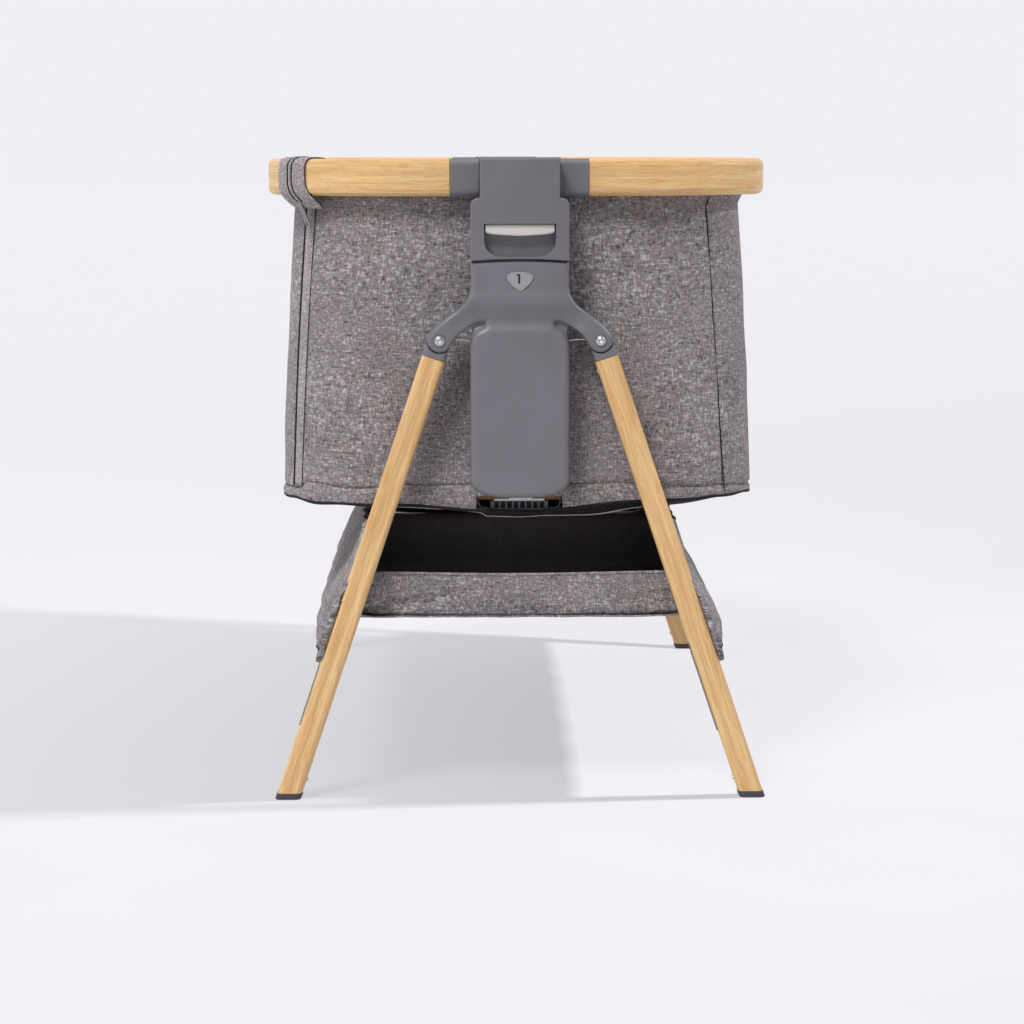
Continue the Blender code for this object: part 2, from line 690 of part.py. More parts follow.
def leg_line(z):
    """X of a leg's middle line at a height."""
    return PIVOT_X + (PIVOT_Z - z) * math.tan(LEG_TILT)


def sheet_solid(name, rows, thickness, frame, finish):
    """A thin closed solid from rows of points on one face."""
    bm = bmesh.new()
    grid = [[bm.verts.new(p) for p in row] for row in rows]
    for a, b in zip(grid, grid[1:]):
        for i in range(len(a) - 1):
            bm.faces.new((a[i], a[i + 1], b[i + 1], b[i]))
    mesh = bpy.data.meshes.new(name)
    bm.to_mesh(mesh)
    bm.free()
    piece = frame.take(new_object(name, mesh), finish)
    skin = piece.modifiers.new("Cloth", "SOLIDIFY")
    skin.thickness = thickness
    skin.offset = 0
    return piece


def make_basket(basket):
    reach = 0.4335  # where the end panels stand, inside the legs
    ramp = 0.190
    for out, prefix in ((-1, "near"), (1, "far")):
        section = [
            (reach, BASKET_TOP),
            (reach, BASKET_END_LOW + 0.008),
            (reach - 0.006, BASKET_END_LOW),
            (ramp + GAP * 3, BASKET_FLOOR),
        ]
        rows = []
        for y, z in section:
            half = leg_line(z) - 0.002
            rows.append([(x * half, out * y, z) for x in (-1, -0.33, 0.33, 1)])
        sheet_solid(f"basket_{prefix}_panel", rows, 0.003, basket, MELANGE)
    half = leg_line(BASKET_FLOOR) - 0.002
    board = rounded_rectangle(half, ramp - GAP * 3, 0.010, 2)
    basket.take(plan_solid("basket_floor", board, BASKET_FLOOR - 0.002, BASKET_FLOOR + 0.002), DARK_FABRIC)
    for side, prefix in ((-1, "left"), (1, "right")):
        rows = []
        for z in (BASKET_SIDE_TOP, 0.240, 0.190, BASKET_SIDE_LOW):
            row = []
            for i in range(-6, 7):
                y = i / 6 * 0.4440
                bow = 0.0150 * (1 - (i / 6) ** 4)
                row.append((side * (leg_line(z) + LEG_WIDE / 2 + 0.0045 + bow), y, z))
            rows.append(row)
        sheet_solid(f"basket_{prefix}_side", rows, 0.003, basket, MELANGE)


def main():
    root = Frame("ring")
    make_rail("rail_right", 1, root)
    make_rail("rail_left", -1, root)
    make_end("near", 0.0)
    make_end("far", math.pi)
    floor = Frame("floor_lift", (0, 0, FLOOR_BOTTOM))
    make_bassinet(root, floor)
    make_zip(root)
    make_basket(Frame("basket_hang", (0, LEG_Y, BASKET_TOP)))


main()
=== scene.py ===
"""The looks of a bedside crib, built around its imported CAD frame. Metres, +Z up, near end at -Y."""

import math

import bmesh
import bpy
from mathutils import Matrix, Vector, noise


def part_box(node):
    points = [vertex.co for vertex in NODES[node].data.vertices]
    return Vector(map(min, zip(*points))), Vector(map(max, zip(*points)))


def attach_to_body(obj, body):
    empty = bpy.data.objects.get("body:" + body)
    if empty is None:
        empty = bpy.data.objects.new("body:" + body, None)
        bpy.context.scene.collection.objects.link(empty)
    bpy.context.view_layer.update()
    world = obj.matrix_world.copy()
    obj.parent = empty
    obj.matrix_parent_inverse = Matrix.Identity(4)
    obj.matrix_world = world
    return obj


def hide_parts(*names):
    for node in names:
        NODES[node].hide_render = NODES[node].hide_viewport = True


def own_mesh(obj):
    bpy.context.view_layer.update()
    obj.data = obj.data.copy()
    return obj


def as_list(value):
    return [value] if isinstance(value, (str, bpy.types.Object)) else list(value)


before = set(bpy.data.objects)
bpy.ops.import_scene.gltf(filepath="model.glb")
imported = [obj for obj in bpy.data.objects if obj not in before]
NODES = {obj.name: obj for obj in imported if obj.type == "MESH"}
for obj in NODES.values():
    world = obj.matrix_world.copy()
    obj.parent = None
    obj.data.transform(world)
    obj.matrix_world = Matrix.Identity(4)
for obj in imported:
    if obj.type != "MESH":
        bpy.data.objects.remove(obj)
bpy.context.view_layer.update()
ENDS = {"near": -1, "far": 1}
SIDES = ((-1, "left"), (1, "right"))

# Sizes read from the frame
RAIL_LOW, RAIL_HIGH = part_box("rail_left")
RAIL_TOP = RAIL_HIGH.z
RAIL_BOTTOM = RAIL_LOW.z
HALF_WIDTH = -RAIL_LOW.x
HALF_LENGTH = RAIL_HIGH.y
WALL_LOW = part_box("bassinet_left_wall")[0].z
WALL_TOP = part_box("bassinet_left_wall")[1].z
FLOOR_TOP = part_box("floor_board")[1].z
PIVOT = (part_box("near_left_leg_rivet")[0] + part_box("near_left_leg_rivet")[1]) / 2
FOOT = (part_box("near_left_leg_foot")[0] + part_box("near_left_leg_foot")[1]) / 2
LEG_SLOPE = (PIVOT.x - FOOT.x) / PIVOT.z
LEG_HALF = 0.0134  # half the width of a leg, measured level
RAIL_CORNER = 0.180
RAIL_THICK = 0.022


# Materials


def new_material(name):
    """A material, its tree and its Principled shader."""
    material = bpy.data.materials.new(name)
    material.use_nodes = True
    tree = material.node_tree
    return material, tree, tree.nodes["Principled BSDF"]


def node(tree, kind, inputs=None, **settings):
    """A node, with its settings and with each input linked to a socket or set to a value."""
    made = tree.nodes.new(kind)
    for key, value in settings.items():
        setattr(made, key, value)
    for key, value in (inputs or {}).items():
        if isinstance(value, bpy.types.NodeSocket):
            tree.links.new(value, made.inputs[key])
        else:
            made.inputs[key].default_value = value
    return made


def calc(tree, operation, *values):
    """The output of a Math node."""
    return node(tree, "ShaderNodeMath", dict(enumerate(values)), operation=operation).outputs[0]


def place(tree):
    """Object coordinates as three sockets."""
    spot = node(tree, "ShaderNodeTexCoord").outputs["Object"]
    return node(tree, "ShaderNodeSeparateXYZ", {0: spot}).outputs[:3]


def joined(tree, x, y, z):
    return node(tree, "ShaderNodeCombineXYZ", {0: x, 1: y, 2: z}).outputs[0]


def ring_place(tree):
    """Coordinates (along, across, up) that follow a ring with rounded corners."""
    x, y, z = place(tree)
    straight_x = HALF_WIDTH - RAIL_CORNER
    straight_y = HALF_LENGTH - RAIL_CORNER
    size_x = calc(tree, "ABSOLUTE", x)
    size_y = calc(tree, "ABSOLUTE", y)
    over_x = calc(tree, "MAXIMUM", calc(tree, "SUBTRACT", size_x, straight_x), 0.0001)
    over_y = calc(tree, "MAXIMUM", calc(tree, "SUBTRACT", size_y, straight_y), 0.0001)
    turn = calc(tree, "ARCTAN2", over_y, over_x)
    along_end = calc(tree, "SUBTRACT", straight_x, calc(tree, "MINIMUM", size_x, straight_x))
    along_side = calc(tree, "SUBTRACT", straight_y, calc(tree, "MINIMUM", size_y, straight_y))
    along = calc(tree, "MULTIPLY_ADD", turn, 0.16, calc(tree, "SUBTRACT", along_end, along_side))
    side = calc(tree, "MULTIPLY", calc(tree, "SIGN", x), 3.0)
    squares = calc(tree, "ADD", calc(tree, "POWER", over_x, 2.0), calc(tree, "POWER", over_y, 2.0))
    return calc(tree, "ADD", along, side), calc(tree, "SQRT", squares), z


def speckle(tree, along, across, up, scales, detail=2.0, offset=0.0, rough=0.5):
    """Noise stretched by a scale for each of three coordinates."""
    places = zip((along, across, up), scales, (offset, 0.0, 0.0))
    spot = joined(tree, *(calc(tree, "MULTIPLY_ADD", *values) for values in places))
    inputs = {"Vector": spot, "Scale": 1.0, "Detail": detail, "Roughness": rough}
    return node(tree, "ShaderNodeTexNoise", inputs).outputs["Fac"]


def ramp(tree, factor, *stops):
    """A colour that runs through stops, pairs of a position and a colour."""
    made = node(tree, "ShaderNodeValToRGB", {0: factor})
    elements = made.color_ramp.elements
    while len(elements) < len(stops):
        elements.new(0.5)
    for element, (position, colour) in zip(elements, stops):
        element.position = position
        element.color = (*colour, 1.0)
    return made.outputs[0]


def mixed(tree, factor, a, b, blend):
    """The colour a with b blended over it."""
    made = node(tree, "ShaderNodeMix", {0: factor, 6: a, 7: b}, data_type="RGBA", blend_type=blend)
    return made.outputs[2]


def finish_shader(tree, shader, colour, roughness, height=None, bump=0.2, depth=0.0005):
    """Sets the shader's colour, roughness and, with a height, its bump."""
    tree.links.new(colour, shader.inputs["Base Color"])
    if isinstance(roughness, bpy.types.NodeSocket):
        tree.links.new(roughness, shader.inputs["Roughness"])
    else:
        shader.inputs["Roughness"].default_value = roughness
    if height is not None:
        lift = node(tree, "ShaderNodeBump", {"Strength": bump, "Distance": depth, "Height": height})
        tree.links.new(lift.outputs[0], shader.inputs["Normal"])


def spread(tree, factor, low, high):
    """A value from low to high as factor goes from 0 to 1."""
    return node(tree, "ShaderNodeMapRange", {0: factor, 3: low, 4: high}).outputs[0]


OAK_WIDE = ((0.30, (0.55, 0.343, 0.142)), (0.52, (0.665, 0.452, 0.208)), (0.72, (0.74, 0.53, 0.268)))
OAK_FINE = ((0.28, (0.42, 0.26, 0.14)), (0.55, (0.5, 0.5, 0.5)), (0.8, (0.62, 0.62, 0.60)))


def oak(name, way):
    """Oak-look foil with fine grain along the piece. way is "ring", or the tilt of a leg in radians."""
    material, tree, shader = new_material(name)
    if way == "ring":
        along, across, up = ring_place(tree)
    else:
        x, y, z = place(tree)
        cosine = math.cos(way)
        sine = math.sin(way)
        along = calc(tree, "SUBTRACT", calc(tree, "MULTIPLY", z, cosine), calc(tree, "MULTIPLY", x, sine))
        across = calc(tree, "ADD", calc(tree, "MULTIPLY", x, cosine), calc(tree, "MULTIPLY", z, sine))
        up = y
    drift = speckle(tree, along, across, up, (7, 40, 40), 2.0, 3.1)
    bent = calc(tree, "MULTIPLY_ADD", drift, 0.010, across)
    lifted = calc(tree, "MULTIPLY_ADD", drift, 0.010, up)
    bands = speckle(tree, along, bent, lifted, (5, 150, 150), 3.0, 0.0, 0.6)
    fibres = speckle(tree, along, bent, lifted, (22, 900, 900), 3.0, 7.0, 0.6)
    pores = speckle(tree, along, across, up, (60, 1600, 1600), 1.0, 11.0)
    wide = ramp(tree, bands, *OAK_WIDE)
    fine = ramp(tree, fibres, *OAK_FINE)
    colour = mixed(tree, 0.75, wide, fine, "OVERLAY")
    dots = ramp(tree, pores, (0.26, (0.62, 0.50, 0.38)), (0.36, (1, 1, 1)))
    colour = mixed(tree, 0.55, colour, dots, "MULTIPLY")
    height = calc(tree, "ADD", calc(tree, "MULTIPLY", fibres, 0.5), calc(tree, "MULTIPLY", pores, 0.5))
    finish_shader(tree, shader, colour, spread(tree, fibres, 0.50, 0.36), height, 0.25, 0.00025)
    shader.inputs["Specular IOR Level"].default_value = 0.42
    return material


def moulded(name, colour, roughness, grain=2600.0):
    """Moulded plastic with a fine matt texture and faint flow marks."""
    material, tree, shader = new_material(name)
    x, y, z = place(tree)
    cloud = speckle(tree, x, y, z, (14, 14, 14), 3.0)
    fine = speckle(tree, x, y, z, (grain, grain, grain), 1.0)
    low = tuple(c * 0.93 for c in colour)
    high = tuple(min(1.0, c * 1.07) for c in colour)
    tint = ramp(tree, cloud, (0.3, low), (0.7, high))
    patchy = spread(tree, cloud, roughness - 0.04, roughness + 0.04)
    rough = calc(tree, "MULTIPLY_ADD", fine, 0.05, patchy)
    finish_shader(tree, shader, tint, rough, fine, 0.12, 0.00012)
    return material


def metal(name, colour, roughness):
    """Plated steel with faint brushing."""
    material, tree, shader = new_material(name)
    x, y, z = place(tree)
    brushed = speckle(tree, x, y, z, (2400, 2400, 160), 2.0)
    cloud = speckle(tree, x, y, z, (90, 90, 90), 2.0)
    tint = ramp(tree, cloud, (0.3, tuple(c * 0.85 for c in colour)), (0.7, colour))
    rough = spread(tree, brushed, roughness - 0.06, roughness + 0.1)
    finish_shader(tree, shader, tint, rough, brushed, 0.08, 0.0001)
    shader.inputs["Metallic"].default_value = 1.0
    return material


def woven(name, way, shades, thread=0.0014, bump=0.6, sheen=0.12):
    """Plain-weave cloth of flecked yarn. way is "ring", "side" (along Y), "end" (along X) or "flat"."""
    material, tree, shader = new_material(name)
    if way == "ring":
        along, across, up = ring_place(tree)
    else:
        x, y, z = place(tree)
        along, across, up = {"side": (y, x, z), "end": (x, y, z), "flat": (x, z, y)}[way]
    turns = 1 / thread
    weft = speckle(tree, along, across, up, (turns * 0.24, turns * 0.1, turns * 0.75), 2.0, 0.0, 0.6)
    warp = speckle(tree, along, across, up, (turns * 0.75, turns * 0.1, turns * 0.26), 2.0, 5.0, 0.6)
    slub = speckle(tree, along, across, up, (turns * 0.10, turns * 0.05, turns * 0.40), 2.0, 9.0, 0.6)
    cloud = speckle(tree, along, across, up, (16, 16, 16), 2.0, 2.0)
    step_a = calc(tree, "SINE", calc(tree, "MULTIPLY", along, turns * math.pi))
    step_b = calc(tree, "SINE", calc(tree, "MULTIPLY", up, turns * math.pi))
    over = calc(tree, "MULTIPLY_ADD", calc(tree, "MULTIPLY", step_a, step_b), 0.5, 0.5)
    under = calc(tree, "MULTIPLY", warp, calc(tree, "SUBTRACT", 1.0, over))
    yarn = calc(tree, "MULTIPLY_ADD", weft, over, under)
    tone = calc(tree, "MULTIPLY_ADD", slub, 0.22, calc(tree, "MULTIPLY", yarn, 0.78))
    tone = calc(tree, "MULTIPLY_ADD", calc(tree, "SUBTRACT", cloud, 0.5), 0.10, tone)
    dark, middle, light = shades
    colour = ramp(tree, tone, (0.39, dark), (0.47, middle), (0.53, middle), (0.61, light))
    warm = speckle(tree, along, across, up, (turns * 0.3, turns * 0.3, turns * 0.3), 1.0, 17.0)
    hue = ramp(tree, warm, (0.35, (1.06, 0.99, 0.92)), (0.5, (1.0, 1.0, 1.0)), (0.65, (0.94, 0.98, 1.08)))
    colour = mixed(tree, 0.8, colour, hue, "MULTIPLY")
    grooves = [calc(tree, "POWER", calc(tree, "ABSOLUTE", step), 0.5) for step in (step_a, step_b)]
    cord = calc(tree, "MULTIPLY", *grooves)
    height = calc(tree, "ADD", calc(tree, "MULTIPLY", cord, 0.6), calc(tree, "MULTIPLY", tone, 0.9))
    # painted shade: the cloth's colour is darkened in the grooves between the threads
    shade = spread(tree, cord, 0.72, 1.0)
    colour = mixed(tree, 1.0, colour, joined(tree, shade, shade, shade), "MULTIPLY")
    finish_shader(tree, shader, colour, spread(tree, tone, 0.96, 0.82), height, bump, thread * 0.4)
    shader.inputs["Sheen Weight"].default_value = sheen
    shader.inputs["Sheen Roughness"].default_value = 0.45
    shader.inputs["Specular IOR Level"].default_value = 0.2
    return material


MELANGE = ((0.088, 0.076, 0.073), (0.240, 0.214, 0.214), (0.52, 0.485, 0.49))
PALE_MELANGE = tuple(tuple(1.25 * c for c in shade) for shade in MELANGE)
LINING = ((0.26, 0.25, 0.25), (0.42, 0.40, 0.395), (0.60, 0.58, 0.575))
BLACK = ((0.010, 0.009, 0.009), (0.018, 0.016, 0.016), (0.032, 0.029, 0.028))
INNER = ((0.085, 0.066, 0.064), (0.140, 0.115, 0.112), (0.220, 0.190, 0.180))
TICK = ((0.60, 0.59, 0.56), (0.74, 0.73, 0.70), (0.85, 0.84, 0.82))

OAK_RING = oak("oak_ring", "ring")
OAK_LEG = {1: oak("oak_leg_left", -math.atan(LEG_SLOPE)), -1: oak("oak_leg_right", math.atan(LEG_SLOPE))}
PLASTIC = moulded("grey_plastic", (0.140, 0.136, 0.151), 0.47)
COVER_PLASTIC = moulded("cover_plastic", (0.143, 0.140, 0.158), 0.38)
DARK_PLASTIC = moulded("dark_plastic", (0.030, 0.030, 0.034), 0.5)
LIGHT_PLASTIC = moulded("light_plastic", (0.56, 0.52, 0.50), 0.42)
DARK_TAPE = moulded("dark_tape", (0.105, 0.100, 0.120), 0.7)
BADGE_PLASTIC = moulded("badge_plastic", (0.27, 0.265, 0.285), 0.36)
RUBBER = moulded("rubber", (0.040, 0.040, 0.048), 0.62, 1500.0)
STEEL = metal("steel", (0.62, 0.62, 0.64), 0.26)
ZIP_STEEL = metal("zip_steel", (0.30, 0.30, 0.315), 0.42)
CLOTH_RING = woven("melange_ring", "ring", MELANGE)
CLOTH_SIDE = woven("melange_side", "side", MELANGE)
CLOTH_END = woven("melange_end", "end", MELANGE)
CLOTH_SMOOTH = woven("melange_smooth", "ring", PALE_MELANGE, 0.0006, 0.3)
LINING_RING = woven("lining_ring", "ring", LINING, 0.0008, 0.4)
BLACK_CLOTH = woven("black_cloth", "ring", BLACK, 0.0008, 0.4, 0.05)
INNER_SIDE, INNER_END, INNER_FLAT = (
    woven(f"inner_{way}", way, INNER, 0.0009, 0.5, 0.05) for way in ("side", "end", "flat")
)
TICKING = woven("ticking", "flat", TICK, 0.0007, 0.35, 0.2)
THREAD = woven("light_thread", "ring", LINING, 0.0005, 0.5)
BLACK_INK = moulded("black_ink", (0.008, 0.008, 0.009), 0.5)
WHITE_TAPE = moulded("white_tape", (0.80, 0.80, 0.82), 0.55)


FLAKES = ((0.3, (0.20, 0.095, 0.038)), (0.55, (0.34, 0.17, 0.072)), (0.75, (0.46, 0.26, 0.125)))


def board_material():
    """Brown fibre board."""
    material, tree, shader = new_material("fibre_board")
    x, y, z = place(tree)
    flakes = speckle(tree, x, y, z, (420, 420, 900), 4.0, 0.0, 0.7)
    colour = ramp(tree, flakes, *FLAKES)
    finish_shader(tree, shader, colour, 0.75, flakes, 0.4, 0.0004)
    return material


BOARD = board_material()


def paint_nodes():
    """Gives each CAD node its finished material."""
    special = {"lever": LIGHT_PLASTIC, "level_badge": BADGE_PLASTIC, "foot": RUBBER}
    special.update({name: STEEL for name in ("lever_spring", "rivet", "hinge_axle", "slide_tube")})
    special.update({"zip_slider": ZIP_STEEL, "zip_pull": ZIP_STEEL})
    for name, obj in NODES.items():
        material = PLASTIC
        for ending, chosen in special.items():
            if name.endswith(ending):
                material = chosen
        if name.startswith("rail_"):
            material = OAK_RING
        if name.endswith("leg_tube"):
            low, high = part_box(name)
            material = OAK_LEG[1 if low.x + high.x < 0 else -1]
        for slot in obj.material_slots:
            slot.material = material
        if not obj.material_slots:
            obj.data.materials.append(material)


paint_nodes()

# Mesh helpers


def clamp(value):
    return min(1.0, max(0.0, value))


def smooth_step(value, low, high):
    share = clamp((value - low) / (high - low))
    return share * share * (3 - 2 * share)


def bell(value, width):
    return math.exp(-((value / width) ** 2))


def ripple(spot, size, seed=0.0):
    """Smooth noise from -1 to 1."""
    return noise.noise(Vector((spot.x / size + seed, spot.y / size, spot.z / size)))


def length_of(points):
    return sum((b - a).length for a, b in zip(points, points[1:]))


def smooth_faces(obj):
    for face in obj.data.polygons:
        face.use_smooth = True


def to_object(bm, name, *materials, smooth=True, outward=True):
    """Makes an object of a bmesh."""
    if outward:
        bmesh.ops.recalc_face_normals(bm, faces=bm.faces)
    mesh = bpy.data.meshes.new(name)
    bm.to_mesh(mesh)
    bm.free()
    for material in materials:
        mesh.materials.append(material)
    obj = bpy.data.objects.new(name, mesh)
    bpy.context.scene.collection.objects.link(obj)
    if smooth:
        smooth_faces(obj)
    return obj


def modify(obj, kind, **settings):
    added = obj.modifiers.new(kind.title(), kind)
    for key, value in settings.items():
        setattr(added, key, value)


def apply_modifiers(obj):
    """Puts the result of the object's modifiers into its mesh."""
    bpy.context.view_layer.update()
    graph = bpy.context.evaluated_depsgraph_get()
    mesh = bpy.data.meshes.new_from_object(obj.evaluated_get(graph))
    obj.modifiers.clear()
    obj.data = mesh
    return obj


def loft(bm, rings, closed=False):
    """Joins rings of vertices one after the other, and caps both ends unless the last meets the first."""
    count = len(rings[0])
    pairs = list(zip(rings, rings[1:]))
    if closed:
        pairs.append((rings[-1], rings[0]))
    else:
        bm.faces.new(rings[0][::-1])
        bm.faces.new(rings[-1])
    for a, b in pairs:
        for k in range(count):
            m = (k + 1) % count
            bm.faces.new((a[k], a[m], b[m], b[k]))


def shell(name, rows, columns, pair, materials):
    """A closed thin shell over a grid, and the points of its face. pair(row, column) gives a point of its
    face and the one behind it. Face, back and edges take materials 0, 1 and 2, or all the only one."""
    grid = [[pair(row, column) for column in columns] for row in rows]
    bm = bmesh.new()
    front, back = ([[bm.verts.new(points[k]) for points in line] for line in grid] for k in (0, 1))
    last_row = len(front) - 1
    last_column = len(front[0]) - 1
    for i in range(last_row):
        for j in range(last_column):
            bm.faces.new((front[i][j], front[i][j + 1], front[i + 1][j + 1], front[i + 1][j]))
            face = bm.faces.new((back[i][j], back[i + 1][j], back[i + 1][j + 1], back[i][j + 1]))
            face.material_index = min(1, len(materials) - 1)
    border = [(0, j) for j in range(last_column)] + [(i, last_column) for i in range(last_row)]
    border += [(last_row, j) for j in range(last_column, 0, -1)] + [(i, 0) for i in range(last_row, 0, -1)]
    for (i, j), (m, n) in zip(border, border[1:] + border[:1]):
        face = bm.faces.new((front[i][j], back[i][j], back[m][n], front[m][n]))
        face.material_index = min(2, len(materials) - 1)
    piece = to_object(bm, name, *materials)
    return piece, [[Vector(points[0]) for points in line] for line in grid]


def level_guide(ahead):
    """A direction well away from ahead."""
    return Vector((0, 0, 1)) if abs(ahead.z) < 0.9 else Vector((1, 0, 0))


def tube(name, points, radius, material, closed=False, sides=10, lift=None):
    """A round tube along points. lift is a direction across it all the way, if there is one."""
    bm = bmesh.new()
    points = [Vector(p) for p in points]
    count = len(points)
    rings = []
    side = None
    for i, p in enumerate(points):
        before = points[i - 1] if closed or i else p
        after = points[(i + 1) % count] if closed or i < count - 1 else p
        ahead = (after - before).normalized()
        guide = Vector(lift) if lift else side or level_guide(ahead)
        side = (guide - ahead * guide.dot(ahead)).normalized()
        other = ahead.cross(side)
        ring = []
        for k in range(sides):
            turn = 2 * math.pi * k / sides
            ring.append(bm.verts.new(p + radius * (side * math.cos(turn) + other * math.sin(turn))))
        rings.append(ring)
    loft(bm, rings, closed)
    return to_object(bm, name, material)


def slab(name, outline, low_depth, high_depth, out, material):
    """A flat piece with an (x, z) outline, between two distances from the middle, at the near or far end."""
    bm = bmesh.new()
    depths = (high_depth, low_depth)
    rings = [[bm.verts.new((-out * x, out * depth, z)) for x, z in outline] for depth in depths]
    loft(bm, rings)
    piece = to_object(bm, name, material, smooth=False)
    modify(piece, "BEVEL", width=0.0002, limit_method="ANGLE")
    return apply_modifiers(piece)


SCREW_PROFILE = ((1.0, -0.3), (1.0, 0.25), (0.9, 0.6), (0.62, 0.92), (0.3, 1.0), (0.24, 0.55))


def screws(name, body, places, radius, height):
    """Domed screw heads, each at a place and facing a direction."""
    bm = bmesh.new()
    for centre, out in places:
        a = out.cross(level_guide(out)).normalized()
        b = out.cross(a)
        rings = []
        for reach, rise in SCREW_PROFILE:
            ring = []
            for k in range(16):
                turn = math.pi / 8 * k
                away = (a * math.cos(turn) + b * math.sin(turn)) * reach * radius
                ring.append(bm.verts.new(centre + out * rise * height + away))
            rings.append(ring)
        loft(bm, rings)
    attach(to_object(bm, name, STEEL), body, "steel")


SOFT_ON_RING = []  # pieces on the ring, each given a mesh of its own at the end
SOFT_BASKET = []  # pieces of the basket, each given a mesh of its own at the end


def attach(piece, body, slot, soft=None):
    """Makes a piece ride a body and adds it to the list soft, if there is one. slot is not used."""
    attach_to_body(piece, body)
    if soft is not None:
        soft.append(piece)
    return piece


# Bassinet: the padded walls, their base band and trims

WALL_THICK = 0.0038
SEAM_ROLL = 0.0022
HEM_TURN = 0.002
NOTCH_HALF = 0.0474  # half the width of the notch for the floor guide
NOTCH_EDGE = (0.0470, 0.0500)
SIZE_LOW = Vector((0.2645, 0.4200, 0.125))
SIZE_TOP = Vector((0.2498, 0.4065, 0.150))
SIZE_RAIL = Vector((HALF_WIDTH, HALF_LENGTH, RAIL_CORNER)) - Vector((RAIL_THICK + 0.0014,) * 3)


def wall_size(z):
    """Half width, half length and corner radius of the walls' outer face at a height."""
    bend = RAIL_BOTTOM - 0.012
    size = SIZE_LOW.lerp(SIZE_TOP, min(1.0, (z - WALL_LOW) / (bend - WALL_LOW)))
    return size.lerp(SIZE_RAIL, smooth_step(z, bend, bend + 0.014))


def on_ring(t, size):
    """The point at t on a rounded rectangle, with its outward direction. t runs from 0 to 8: the near end,
    a corner, the right side, a corner, and so on."""
    t = t % 8.0
    leg = int(t)
    share = t - leg
    flat_x = size.x - size.z
    flat_y = size.y - size.z
    turn = math.pi / 2 * (leg // 2)
    if leg % 2:
        angle = turn - math.pi / 2 + share * math.pi / 2
        out = Vector((math.cos(angle), math.sin(angle), 0))
        centre = Vector(((1, 1, -1, -1)[leg // 2] * flat_x, (-1, 1, 1, -1)[leg // 2] * flat_y, 0))
        return centre + out * size.z, out
    out = Vector((math.sin(turn), -math.cos(turn), 0))
    ahead = Vector((-out.y, out.x, 0))
    reach = (size.y, size.x)[(leg // 2) % 2]
    span = (flat_x, flat_y)[(leg // 2) % 2]
    return out * reach + ahead * (2 * share - 1) * span, out


def steps(low, high, corner=14, side=22):
    """Values of t from low to high, closer together on the corners."""
    values = [low]
    t = low
    while t < high - 1e-6:
        piece = math.floor(t + 1e-6)
        count = corner if piece % 2 else side
        t = min(high, math.floor((t + 1e-6) * count + 1 + 1e-6) / count)
        values.append(t)
    return values


def on_stops(value, stops):
    """A height on a smooth curve through stops, pairs of a place and millimetres above the walls' low edge.
    Past its ends it is the first stop's height."""
    for (a, low), (b, high) in zip(stops, stops[1:]):
        if a <= value <= b:
            return WALL_LOW + 0.001 * (low + (high - low) * smooth_step(value, a, b))
    return WALL_LOW + 0.001 * stops[0][1]


def all_round(stops):
    """Stops along t, closed into a ring."""
    return ((stops[-1][0] - 8.0, stops[-1][1]),) + stops + ((stops[0][0] + 8.0, stops[0][1]),)


SEAM_STOPS = ((0.1, 32), (0.9, 33), (1.4, 27), (2.0, 20), (3.0, 20), (3.6, 27), (4.1, 33), (4.9, 32))
SEAM_STOPS += ((5.6, 27), (6.2, 20), (6.9, 20), (7.33, 21), (7.46, 31), (7.56, 30), (7.72, 27), (7.85, 28))
EDGE_STOPS = ((0.0, 11.5), (0.5, 3), (1.0, 15.5), (1.6, 16.5), (2.3, 10), (3.0, 9), (3.5, 13), (4.0, 13))
EDGE_STOPS += ((4.5, 3), (5.0, 13), (5.6, 12), (6.2, 9), (6.9, 9.5), (7.3, 12.5), (7.5, 10.5), (7.8, 11.5))
SKIRT_STOPS = ((-0.135, 7.0), (-0.080, 4.5), (-0.044, 1.0), (-0.035, -3.5), (0.0, -4.5), (0.030, -3.0))
SKIRT_STOPS += ((0.075, -2.5), (0.135, 5.5))
SKIRT_WIDTH = 0.27


def band_top(t):
    """Height of the seam above the base band."""
    return on_stops(t % 8.0, all_round(SEAM_STOPS))


def band_low(t):
    """Height of the base band's lower edge, which sags at the middle of each end."""
    return on_stops(t % 8.0, all_round(EDGE_STOPS))


def wall_frame(t, z):
    """A point of the walls' plain outer face, with its outward direction."""
    spot, out = on_ring(t, wall_size(z))
    spot.z = z
    return spot, out


def wall_point(t, z, extra=0.0):
    spot, out = wall_frame(t, z)
    return spot + out * extra


ZIP_START = 7.300  # the zip lies on the near left corner
ZIP_END = 7.390
PANELS = {"near": (ZIP_END - 8, 1.5), "right": (1.5, 3.5), "far": (3.5, 5.5), "left": (5.5, ZIP_START)}


def wall_surface(t, z, ends):
    """A point on the outside of a wall panel, with fullness, soft wrinkles and rolled seams."""
    low = band_top(t)
    spot, out = wall_frame(t, z)
    height = (z - low) / (RAIL_BOTTOM - low)
    belly = max(0.0, math.sin(math.pi * clamp(height))) ** 0.8
    calm = smooth_step(RAIL_BOTTOM + 0.006 - z, 0.0, 0.03)
    fold = 0.0016 * ripple(spot, 0.09, 3.0) + 0.0008 * ripple(spot, 0.035, 8.0)
    from_end = min(abs(t - ends[0]), abs(t - ends[1])) * 0.21
    pucker = 0.0006 * ripple(Vector((spot.x, spot.y, z * 9)), 0.05, 1.0) * math.exp(-from_end / 0.012)
    from_band = z - low
    drag = 0.0005 * ripple(Vector((t * 2.2, 0, z * 1.5)), 0.08, 5.0) * math.exp(-from_band / 0.02)
    rolled = SEAM_ROLL * (bell(from_end, 0.0022) + bell(from_band, 0.0022))
    return spot + out * (0.0022 * belly + calm * (fold + pucker + drag) - rolled)


